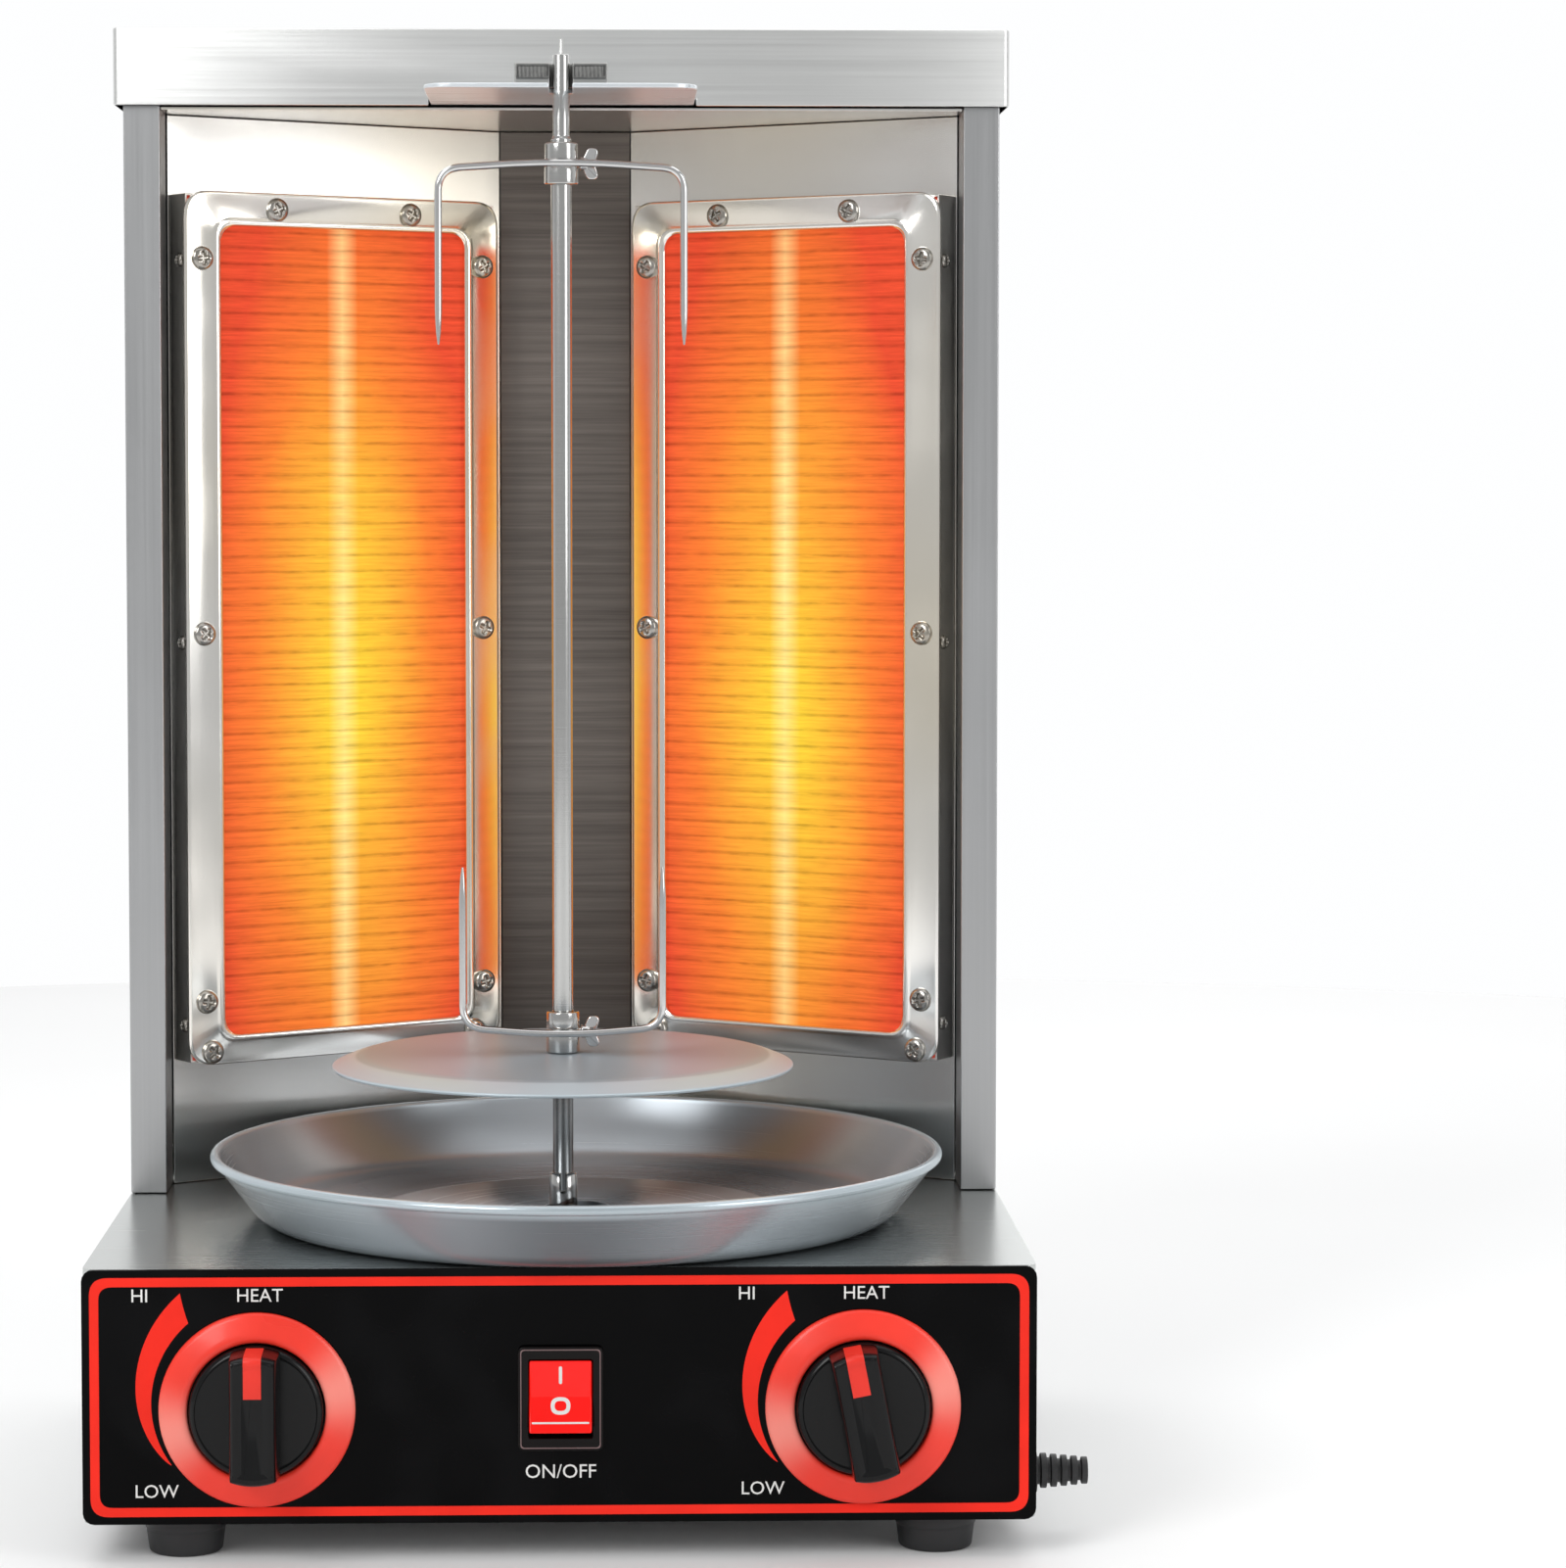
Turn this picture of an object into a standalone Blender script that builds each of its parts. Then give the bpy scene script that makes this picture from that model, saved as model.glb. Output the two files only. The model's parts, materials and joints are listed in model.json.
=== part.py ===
"""Small electric vertical rotisserie oven, with every piece at its real size.

The base box carries two heat controls and a rocker switch on its front and a gear motor inside. A cabinet
open to the front stands on its rear half: two angled reflectors, each with a radiant heater, meet at a centre
column. The spit stands in a slotted coupling on the motor shaft and leans in the slot of a bracket under the
canopy. Two wire forks clamp on the spit above a carrying disc, and a drip pan rests on the base below them.

Lengths are metres. X runs to the right, Y from front to back and Z up. Pieces are placed from the point on
the ground under the middle of the base's front edge; the assembly empty then moves everything so that the
origin lies under the middle of the whole oven.
"""

import math

import bmesh
import bpy
from mathutils import Matrix, Vector

# ---------------------------------------------------------------------------------------- driving dimensions
BASE_WIDTH = 0.290
BASE_DEPTH = 0.248
BASE_HEIGHT = 0.078
BASE_CORNER = 0.0035  # radius of the base's upright corners
CABINET_DEPTH = 0.108
CABINET_HEIGHT = 0.362  # from the base's top to the canopy's lower edge
CANOPY_HEIGHT = 0.0253
CANOPY_OVERHANG = 0.003  # at the front and at each side
CANOPY_CORNER = 0.0018
SHEET = 0.001  # steel sheet of the housing
GAP = 0.0003  # between pieces that touch
THROUGH = 0.010  # length of a cutter that goes through one sheet

FOOT_HEIGHT = 0.012
FOOT_TOP_RADIUS = 0.0125
FOOT_FLOOR_RADIUS = 0.0112
FOOT_INSET_X = 0.0295
FOOT_INSET_Y = 0.017
FOOT_RECESS_RADIUS = 0.005
FOOT_RECESS_DEPTH = 0.006
FOOT_CHAMFER = 0.0008
FLOOR_VENTS = 5
FLOOR_VENT_LENGTH = 0.070

POST_WIDTH = 0.012  # front face of each upright
POST_RETURN = 0.020  # how far its inner face runs back
PANEL_RISE = 0.018  # how far the side panels reach up inside the canopy
REAR_SLOTS = 7
REAR_SLOT_LENGTH = 0.062
REAR_SLOT_HEIGHT = 0.004
REAR_SLOT_PITCH = 0.011
REAR_SLOT_OFFSET = 0.058  # middle of each bank of slots from the mid-plane
SLOT_END_ROUNDNESS = 0.49  # end radius as a share of the slot's height

COLUMN_WIDTH = 0.0456
REFLECTOR_DEPTH = 0.0714  # from the posts back to the column
CEILING_DROP = 0.0012  # ceiling's lower face under the canopy's lower edge

HEATER_DEPTH = 0.012
HEATER_WALL = 0.0008
HEATER_INNER_MARGIN = 0.009  # reflector left bare beside the column
HEATER_BOTTOM_MARGIN = 0.0415
HEATER_TOP_MARGIN = 0.027
FRAME_THICKNESS = 0.0012
FRAME_SIDE_BORDER = 0.0137
FRAME_TOP_BORDER = 0.0115
FRAME_BOTTOM_BORDER = 0.0098
FRAME_CORNER = 0.006
FRAME_OPENING_CORNER = 0.004
BOARD_THICKNESS = 0.003
ELEMENT_RADIUS = 0.0016
ELEMENT_RUNS = 6
ELEMENT_MARGIN = 0.014
PLATE_THICKNESS = 0.003

SPIT_FORWARD = 0.045  # spit axis in front of the posts
SPIT_RADIUS = 0.0033
SPIT_RISE = 0.0128  # rod's shoulder above the canopy's lower edge
NEEDLE_RADIUS = 0.0007
NEEDLE_LENGTH = 0.005
COUPLING_RADIUS = 0.0046
COUPLING_HEIGHT = 0.0129
COUPLING_LIFT = 0.001  # coupling above the base
COUPLING_WEB = 0.0009  # between the socket and the shaft's bore
SOCKET_DEPTH = 0.0065
SOCKET_SLOT = 0.0026
BLADE_HEIGHT = 0.004
SHAFT_RADIUS = 0.003
SHAFT_HOLE_RADIUS = 0.005
MOTOR_RADIUS = 0.024
MOTOR_HEIGHT = 0.021
MOTOR_BRACKET_SHEET = 0.0015
MOTOR_BRACKET_DROP = 0.0075
MOTOR_BRACKET_SPAN = 0.068
MOTOR_BRACKET_FLANGE = 0.012
MOTOR_BRACKET_DEPTH = 0.040

DISC_RADIUS = 0.0748
DISC_FLAT_RADIUS = 0.0665
DISC_RIM_DROP = 0.0036
DISC_THICKNESS = 0.0012
DISC_RISE = 0.053  # disc's flat top above the base
HUB_RADIUS = 0.007
HUB_HEIGHT = 0.0075

COLLAR_RADIUS = 0.0054
COLLAR_HEIGHT = 0.0133
WIRE_RADIUS = 0.0012
FORK_CORNER = 0.007
FORK_BOW = 0.0026
LOWER_FORK_SPAN = 0.0644
LOWER_FORK_LEG = 0.052
UPPER_FORK_SPAN = 0.0786
UPPER_FORK_LEG = 0.056
UPPER_COLLAR_DROP = 0.0154  # upper collar's top under the canopy's lower edge
SCREW_RADIUS = 0.0013
WING_REACH = 0.005
WING_THICKNESS = 0.0016

PAN_CLEARANCE = 0.0038  # between the pan's rim and the reflectors
PAN_SHIFT = 0.0045  # the loose pan lies a little to the right
PAN_HEIGHT = 0.0222
PAN_WALL_RUN = 0.0165  # how far the sloping wall leans out
PAN_SHEET = 0.001
PAN_BEAD = 0.0016
PAN_HOLE_RADIUS = 0.010
PAN_LIP = 0.0025

BRACKET_WIDTH = 0.087
BRACKET_NOSE = 0.022  # in front of the spit axis
BRACKET_TAIL = 0.028  # behind the canopy's front
BRACKET_THICKNESS = 0.0016
BRACKET_CORNER = 0.009
SPIT_CLEARANCE = 0.0004
REST_BLOCK_WIDTH = 0.030
REST_BLOCK_DEPTH = 0.010
REST_BLOCK_HEIGHT = 0.008
REST_BLOCK_LEAD = 0.001  # in front of the spit axis

PANEL_THICKNESS = 0.0012
KNOB_INSET = 0.053  # knob axis from the base's side
KNOB_HEIGHT = 0.0352  # knob axis above the base's lower edge
BEZEL_RADIUS = 0.0298
BEZEL_HEIGHT = 0.0042
BEZEL_CLEARANCE = 0.0005  # around the knob
KNOB_RADIUS = 0.0204
KNOB_SKIRT = 0.006
KNOB_DEPTH = 0.0195
GRIP_WIDTH = 0.0152
KNOB_BORE_DEPTH = 0.010
RIGHT_KNOB_TURN = math.radians(-11)  # left set a little past the upright position
CONTROL_SIZE = 0.032
CONTROL_DEPTH = 0.026
CONTROL_BUSH_RADIUS = 0.0046
CONTROL_BORE_DEPTH = 0.009

SWITCH_HEIGHT = 0.0383  # switch's middle above the base's lower edge
SWITCH_BEZEL_WIDTH = 0.026
SWITCH_BEZEL_HEIGHT = 0.032
SWITCH_BEZEL_THICKNESS = 0.0018
SWITCH_BODY_WIDTH = 0.0216
SWITCH_BODY_HEIGHT = 0.0276
SWITCH_BODY_DEPTH = 0.021
ROCKER_WIDTH = 0.019
ROCKER_HALF_HEIGHT = 0.011
ROCKER_FRONT = 0.005  # its ends in front of the pivot, before it is tipped
ROCKER_TIP = math.radians(12)
ROCKER_KEEL = 0.005  # how far its back reaches behind the pivot
ROCKER_KEEL_HALF = 0.006
ROCKER_WELL_DEPTH = 0.012  # behind the pivot
SWITCH_PIVOT_DEPTH = 0.0009  # behind the panel's face
SWITCH_BEZEL_CORNER = 0.002
SWITCH_BODY_CORNER = 0.001

GLAND_REACH = 0.018
GLAND_RADIUS = 0.0054
GLAND_BORE_RADIUS = 0.003
GLAND_RIBS = 5
GLAND_FROM_FRONT = 0.022
GLAND_HEIGHT = 0.0097  # above the base's lower edge
GLAND_SHANK_RADIUS = 0.0042
NUT_RADIUS = 0.0075
NUT_THICKNESS = 0.0045
GLAND_FLANGE = 0.0018
GLAND_FLANGE_RIM = 0.0016  # flange beyond the first rib
GLAND_RIB_DEPTH = 0.0011
GLAND_RIB_TAPER = 0.0003  # each rib is this much smaller than the last
TERMINAL_SIZE = (0.042, 0.016, 0.014)
TERMINAL_WAYS = 3
TERMINAL_WELL_RADIUS = 0.0035
TERMINAL_WELL_DEPTH = 0.006

ROUND_STEPS = 48
SMALL_STEPS = 24

# -------------------------------------------------------------------------------------------- derived places
BASE_BOTTOM = FOOT_HEIGHT
BASE_TOP = BASE_BOTTOM + BASE_HEIGHT
CANOPY_BOTTOM = BASE_TOP + CABINET_HEIGHT
CABINET_FRONT = BASE_DEPTH - CABINET_DEPTH
CABINET_REAR = BASE_DEPTH - SHEET - GAP
POST_INNER = BASE_WIDTH / 2 - POST_WIDTH
REFLECTOR_FRONT = CABINET_FRONT + POST_RETURN
CEILING_BOTTOM = CANOPY_BOTTOM - CEILING_DROP
REFLECTOR_RUN = POST_INNER - COLUMN_WIDTH / 2
REFLECTOR_ANGLE = math.atan2(REFLECTOR_DEPTH, REFLECTOR_RUN)
REFLECTOR_LENGTH = math.hypot(REFLECTOR_DEPTH, REFLECTOR_RUN)
COLUMN_FRONT = REFLECTOR_FRONT + REFLECTOR_DEPTH
HEATER_WIDTH = REFLECTOR_LENGTH - HEATER_INNER_MARGIN
HEATER_BOTTOM = BASE_TOP + HEATER_BOTTOM_MARGIN
HEATER_TOP = CANOPY_BOTTOM - HEATER_TOP_MARGIN
SPIT_Y = CABINET_FRONT - SPIT_FORWARD
COUPLING_BOTTOM = BASE_TOP + COUPLING_LIFT
COUPLING_TOP = COUPLING_BOTTOM + COUPLING_HEIGHT
SOCKET_FLOOR = COUPLING_TOP - SOCKET_DEPTH
DISC_TOP = BASE_TOP + DISC_RISE
LOWER_COLLAR_BOTTOM = DISC_TOP + GAP
UPPER_COLLAR_BOTTOM = CANOPY_BOTTOM - UPPER_COLLAR_DROP - COLLAR_HEIGHT
FORK_FORWARD = COLLAR_RADIUS + GAP + WIRE_RADIUS
PANEL_FRONT = -GAP - PANEL_THICKNESS
BEZEL_BACK = PANEL_FRONT - GAP
KNOB_Z = BASE_BOTTOM + KNOB_HEIGHT
SWITCH_Z = BASE_BOTTOM + SWITCH_HEIGHT
SWITCH_PIVOT_Y = PANEL_FRONT + SWITCH_PIVOT_DEPTH
BRACKET_BOTTOM = CANOPY_BOTTOM + GAP
BRACKET_SLOT = SPIT_RADIUS + SPIT_CLEARANCE


def pan_radius():
    """The pan's rim stays its clearance short of the reflectors and of the posts."""
    back = REFLECTOR_FRONT - SPIT_Y
    to_reflector = math.sin(REFLECTOR_ANGLE) * POST_INNER + math.cos(REFLECTOR_ANGLE) * back
    to_post = math.hypot(POST_INNER, SPIT_FORWARD)
    return min(to_reflector, to_post) - PAN_SHIFT - PAN_CLEARANCE


PAN_RADIUS = pan_radius()
CANOPY_HALF_WIDTH = BASE_WIDTH / 2 + CANOPY_OVERHANG
CANOPY_REAR = BASE_DEPTH + GAP + SHEET
GLAND_END = BASE_WIDTH / 2 + GLAND_REACH
FRONTMOST = min(SPIT_Y - PAN_RADIUS, BEZEL_BACK - KNOB_DEPTH)
CENTRE_X = (GLAND_END - CANOPY_HALF_WIDTH) / 2
CENTRE_Y = (FRONTMOST + CANOPY_REAR) / 2


# ------------------------------------------------------------------------------------------------- materials
def material(name, colour, roughness, metallic):
    made = bpy.data.materials.new(name)
    made.use_nodes = True
    shader = made.node_tree.nodes["Principled BSDF"]
    shader.inputs["Base Color"].default_value = (*colour, 1)
    shader.inputs["Roughness"].default_value = roughness
    shader.inputs["Metallic"].default_value = metallic
    return made


def make_materials():
    return {
        "steel": material("brushed_steel", (0.60, 0.60, 0.59), 0.32, 1),
        "bright": material("polished_steel", (0.78, 0.77, 0.74), 0.14, 1),
        "dark_steel": material("dark_steel", (0.20, 0.18, 0.16), 0.4, 1),
        "panel": material("black_panel", (0.012, 0.012, 0.013), 0.25, 0),
        "red": material("red_plastic", (0.80, 0.09, 0.05), 0.35, 0),
        "black": material("black_plastic", (0.02, 0.02, 0.022), 0.35, 0),
        "rubber": material("black_rubber", (0.03, 0.03, 0.03), 0.8, 0),
        "glow": material("hot_ceramic", (0.95, 0.30, 0.05), 0.6, 0),
        "board": material("insulation_board", (0.80, 0.78, 0.72), 0.9, 0),
        "brass": material("brass", (0.75, 0.58, 0.28), 0.35, 1),
    }


# --------------------------------------------------------------------------------------------- shape helpers
def clear_scene():
    for obj in list(bpy.data.objects):
        bpy.data.objects.remove(obj, do_unlink=True)


def empty(name, parent, location=(0, 0, 0), turn=0.0):
    made = bpy.data.objects.new(name, None)
    made.empty_display_size = 0.02
    made.parent = parent
    made.location = location
    made.rotation_euler.z = turn
    bpy.context.scene.collection.objects.link(made)
    return made


def place(name, shape, finish, parent, location=(0, 0, 0), rotation=(0, 0, 0)):
    """Makes one object of a bmesh, with smooth round sides and sharp edges over 35 degrees."""
    bmesh.ops.recalc_face_normals(shape, faces=shape.faces)
    mesh = bpy.data.meshes.new(name)
    shape.to_mesh(mesh)
    shape.free()
    mesh.shade_smooth()
    mesh.set_sharp_from_angle(angle=math.radians(35))
    if finish:
        mesh.materials.append(finish)
    made = bpy.data.objects.new(name, mesh)
    made.parent = parent
    made.location = location
    made.rotation_euler = rotation
    bpy.context.scene.collection.objects.link(made)
    return made


def combine(target, name, shape, operation, location=(0, 0, 0), rotation=(0, 0, 0)):
    """Cuts a shape from the target or joins it on; the shape is placed in the target's own frame."""
    tool = place(f"{target.name}_{name}", shape, None, target, location, rotation)
    tool.hide_render = True
    tool.display_type = "WIRE"
    modifier = target.modifiers.new(name, "BOOLEAN")
    modifier.operation = operation
    modifier.object = tool


def cut(target, name, shape, location=(0, 0, 0), rotation=(0, 0, 0)):
    combine(target, name, shape, "DIFFERENCE", location, rotation)


def join(target, name, shape, location=(0, 0, 0), rotation=(0, 0, 0)):
    combine(target, name, shape, "UNION", location, rotation)


def arc(centre, radius, start, end, steps):
    """Points on an arc, both ends included; angles in degrees."""
    points = []
    for step in range(steps + 1):
        angle = math.radians(start + (end - start) * step / steps)
        points.append((centre[0] + radius * math.cos(angle), centre[1] + radius * math.sin(angle)))
    return points


def rounded_rectangle(width, height, radius, steps=4):
    """Outline centred on the origin, with round corners."""
    x, y = width / 2 - radius, height / 2 - radius
    corners = (((x, y), 0), ((-x, y), 90), ((-x, -y), 180), ((x, -y), 270))
    return [point for centre, start in corners for point in arc(centre, radius, start, start + 90, steps)]


def circle(radius, steps=SMALL_STEPS):
    return arc((0, 0), radius, 0, 360, steps)[:-1]


def slot_outline(width, length):
    """A slot with one round end at the origin, open towards -Y."""
    return [*arc((0, 0), width / 2, 0, 180, 12), (-width / 2, -length), (width / 2, -length)]


def prism(outline, length, along="Z"):
    """An outline pushed along an axis from zero: (x, y) along Z, (x, z) along Y, (y, z) along X."""
    lift = {
        "Z": lambda a, b: (a, b, 0),
        "Y": lambda a, b: (a, 0, b),
        "X": lambda a, b: (0, a, b),
    }[along]
    push = {"Z": (0, 0, length), "Y": (0, length, 0), "X": (length, 0, 0)}[along]
    shape = bmesh.new()
    face = shape.faces.new([shape.verts.new(lift(*point)) for point in outline])
    moved = bmesh.ops.extrude_face_region(shape, geom=[face])["geom"]
    bmesh.ops.translate(shape, vec=push, verts=[v for v in moved if isinstance(v, bmesh.types.BMVert)])
    return shape


def block(low, high):
    """A plain box between two corners."""
    shape = bmesh.new()
    size = Vector(high) - Vector(low)
    middle = (Vector(high) + Vector(low)) / 2
    bmesh.ops.create_cube(shape, size=1, matrix=Matrix.Translation(middle) @ Matrix.Diagonal((*size, 1)))
    return shape


def turned(profile, closed, steps=ROUND_STEPS, along="Z"):
    """Spins (radius, height) points; an open profile starts and ends on the axis, a closed one is a ring."""
    shape = bmesh.new()
    points = [shape.verts.new((radius, 0, height)) for radius, height in profile]
    pairs = list(zip(points, points[1:]))
    if closed:
        pairs.append((points[-1], points[0]))
    edges = [shape.edges.new(pair) for pair in pairs]
    bmesh.ops.spin(
        shape,
        geom=points + edges,
        cent=(0, 0, 0),
        axis=(0, 0, 1),
        angle=math.tau,
        steps=steps,
        use_merge=True,
    )
    bmesh.ops.remove_doubles(shape, verts=shape.verts, dist=1e-6)
    about = {"-Y": "X", "X": "Y"}.get(along)
    if about:
        turn = Matrix.Rotation(math.radians(90), 3, about)
        bmesh.ops.rotate(shape, cent=(0, 0, 0), matrix=turn, verts=shape.verts)
    return shape


def bent_sheet(path, thickness):
    """Closed outline of a sheet whose visible side follows the path; its thickness lies to the left."""
    points = [Vector(point) for point in path]
    runs = [(b - a).normalized() for a, b in zip(points, points[1:])]
    inner = []
    for index, point in enumerate(points):
        before = runs[max(index - 1, 0)]
        after = runs[min(index, len(runs) - 1)]
        left = Vector((-before.y, before.x)) + Vector((-after.y, after.x))
        across = Vector((-after.y, after.x))
        inner.append(point + left * (thickness / left.dot(across)))
    return [tuple(point) for point in points + inner[::-1]]


def rod_curve(name, path, radius, finish, parent, location=(0, 0, 0), taper=()):
    """A round rod along a path, with closed ends; taper gives the relative thickness at the path's ends."""
    data = bpy.data.curves.new(name, "CURVE")
    data.dimensions = "3D"
    data.bevel_depth = radius
    data.bevel_resolution = 2
    data.use_fill_caps = True
    spline = data.splines.new("POLY")
    spline.points.add(len(path) - 1)
    for index, (knot, point) in enumerate(zip(spline.points, path)):
        knot.co = (*point, 1)
        from_end = min(index, len(path) - 1 - index)
        knot.radius = taper[from_end] if from_end < len(taper) else 1
    data.materials.append(finish)
    made = bpy.data.objects.new(name, data)
    made.parent = parent
    made.location = location
    bpy.context.scene.collection.objects.link(made)
    return made


# ------------------------------------------------------------------------------------------------------ base
def make_base(assembly, finishes):
    shell = place(
        "base_shell",
        prism(rounded_rectangle(BASE_WIDTH, BASE_DEPTH, BASE_CORNER), BASE_HEIGHT),
        finishes["steel"],
        assembly,
        (0, BASE_DEPTH / 2, BASE_BOTTOM),
    )
    inside = rounded_rectangle(BASE_WIDTH - 2 * SHEET, BASE_DEPTH - 2 * SHEET, BASE_CORNER - SHEET)
    cut(shell, "hollow", prism(inside, BASE_HEIGHT), (0, 0, -SHEET))
    shaft_hole = prism(circle(SHAFT_HOLE_RADIUS), THROUGH)
    cut(shell, "shaft_hole", shaft_hole, (0, SPIT_Y - BASE_DEPTH / 2, BASE_HEIGHT - THROUGH / 2))
    cut_controls(shell, -BASE_DEPTH / 2)
    gland_hole = prism(circle(GLAND_SHANK_RADIUS + GAP), THROUGH, "X")
    gland_place = (BASE_WIDTH / 2 - THROUGH / 2, GLAND_FROM_FRONT - BASE_DEPTH / 2, GLAND_HEIGHT)
    cut(shell, "gland_hole", gland_hole, gland_place)

    inset = 2 * (SHEET + GAP)
    floor = place(
        "base_floor",
        prism(rounded_rectangle(BASE_WIDTH - inset, BASE_DEPTH - inset, BASE_CORNER - SHEET - GAP), SHEET),
        finishes["steel"],
        assembly,
        (0, BASE_DEPTH / 2, BASE_BOTTOM),
    )
    vent = rounded_rectangle(FLOOR_VENT_LENGTH, REAR_SLOT_HEIGHT, REAR_SLOT_HEIGHT * SLOT_END_ROUNDNESS)
    for row in range(FLOOR_VENTS):
        y = (row - (FLOOR_VENTS - 1) / 2) * REAR_SLOT_PITCH
        cut(floor, f"vent_{row}", prism(vent, THROUGH), (0, y, -THROUGH / 2))

    panel = place(
        "front_panel",
        prism(rounded_rectangle(BASE_WIDTH, BASE_HEIGHT, BASE_CORNER), PANEL_THICKNESS, "Y"),
        finishes["panel"],
        assembly,
        (0, PANEL_FRONT, BASE_BOTTOM + BASE_HEIGHT / 2),
    )
    cut_controls(panel, 0, BASE_HEIGHT / 2)

    for side, x in (("left", -1), ("right", 1)):
        for end, y in (("front", FOOT_INSET_Y), ("rear", BASE_DEPTH - FOOT_INSET_Y)):
            make_foot(f"foot_{end}_{side}", (x * (BASE_WIDTH / 2 - FOOT_INSET_X), y, 0), assembly, finishes)


def cut_controls(target, front, middle=0.0):
    """Holes for the two control bushes and the switch; front and middle place the target's own frame."""
    start = front - THROUGH / 2
    for side, x in (("left", -1), ("right", 1)):
        bush = prism(circle(CONTROL_BUSH_RADIUS + GAP), THROUGH, "Y")
        bush_place = (x * (BASE_WIDTH / 2 - KNOB_INSET), start, KNOB_HEIGHT - middle)
        cut(target, f"{side}_control_hole", bush, bush_place)
    width, height = SWITCH_BODY_WIDTH + 2 * GAP, SWITCH_BODY_HEIGHT + 2 * GAP
    opening = rounded_rectangle(width, height, SWITCH_BODY_CORNER)
    cut(target, "switch_hole", prism(opening, THROUGH, "Y"), (0, start, SWITCH_HEIGHT - middle))


def make_foot(name, location, assembly, finishes):
    """A tapered rubber foot with a recess for its screw."""
    top = FOOT_HEIGHT - GAP
    profile = [
        (0, FOOT_RECESS_DEPTH),
        (FOOT_RECESS_RADIUS, FOOT_RECESS_DEPTH),
        (FOOT_RECESS_RADIUS, 0),
        (FOOT_FLOOR_RADIUS - FOOT_CHAMFER, 0),
        (FOOT_FLOOR_RADIUS, FOOT_CHAMFER),
        (FOOT_TOP_RADIUS, top),
        (0, top),
    ]
    place(name, turned(profile, False, SMALL_STEPS), finishes["rubber"], assembly, location)


# --------------------------------------------------------------------------------------------------- cabinet
def make_cabinet(assembly, finishes):
    panel_height = CABINET_HEIGHT + PANEL_RISE
    for side, x in (("left", -1), ("right", 1)):
        path = [
            (x * POST_INNER, CABINET_REAR),
            (x * BASE_WIDTH / 2, CABINET_REAR),
            (x * BASE_WIDTH / 2, CABINET_FRONT),
            (x * POST_INNER, CABINET_FRONT),
            (x * POST_INNER, REFLECTOR_FRONT),
        ]
        outline = bent_sheet(path if x < 0 else path[::-1], SHEET)
        panel = prism(outline, panel_height)
        place(f"side_panel_{side}", panel, finishes["steel"], assembly, (0, 0, BASE_TOP + GAP))

    rear = place(
        "rear_cover",
        block((-BASE_WIDTH / 2, 0, 0), (BASE_WIDTH / 2, SHEET, panel_height)),
        finishes["steel"],
        assembly,
        (0, BASE_DEPTH - SHEET, BASE_TOP + GAP),
    )
    slot = rounded_rectangle(REAR_SLOT_LENGTH, REAR_SLOT_HEIGHT, REAR_SLOT_HEIGHT * SLOT_END_ROUNDNESS)
    for bank, x in (("left", -1), ("right", 1)):
        for row in range(REAR_SLOTS):
            height = CABINET_HEIGHT / 2 + (row - (REAR_SLOTS - 1) / 2) * REAR_SLOT_PITCH
            vent = prism(slot, THROUGH, "Y")
            cut(rear, f"{bank}_vent_{row}", vent, (x * REAR_SLOT_OFFSET, -THROUGH / 2, height))

    depth = CANOPY_REAR - CABINET_FRONT + CANOPY_OVERHANG
    middle = (CANOPY_REAR + CABINET_FRONT - CANOPY_OVERHANG) / 2
    canopy = place(
        "canopy",
        prism(rounded_rectangle(2 * CANOPY_HALF_WIDTH, depth, CANOPY_CORNER, 2), CANOPY_HEIGHT),
        finishes["steel"],
        assembly,
        (0, middle, CANOPY_BOTTOM),
    )
    inner_corner = CANOPY_CORNER - SHEET
    hollow = rounded_rectangle(2 * (CANOPY_HALF_WIDTH - SHEET), depth - 2 * SHEET, inner_corner, 2)
    cut(canopy, "hollow", prism(hollow, CANOPY_HEIGHT), (0, 0, -SHEET))
    notch = BRACKET_WIDTH / 2 + 2 * GAP
    top = 2 * GAP + BRACKET_THICKNESS
    low = (-notch, -depth / 2 - THROUGH / 2, -THROUGH / 2)
    cut(canopy, "bracket_notch", block(low, (notch, -depth / 2 + THROUGH / 2, top)))

    place(
        "ceiling_panel",
        block((GAP - POST_INNER, CABINET_FRONT + SHEET, 0), (POST_INNER - GAP, CABINET_REAR - GAP, SHEET)),
        finishes["bright"],
        assembly,
        (0, 0, CEILING_BOTTOM),
    )
    place(
        "back_column",
        block((-COLUMN_WIDTH / 2, 0, BASE_TOP + GAP), (COLUMN_WIDTH / 2, SHEET, CEILING_BOTTOM - GAP)),
        finishes["dark_steel"],
        assembly,
        (0, COLUMN_FRONT, 0),
    )


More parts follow.
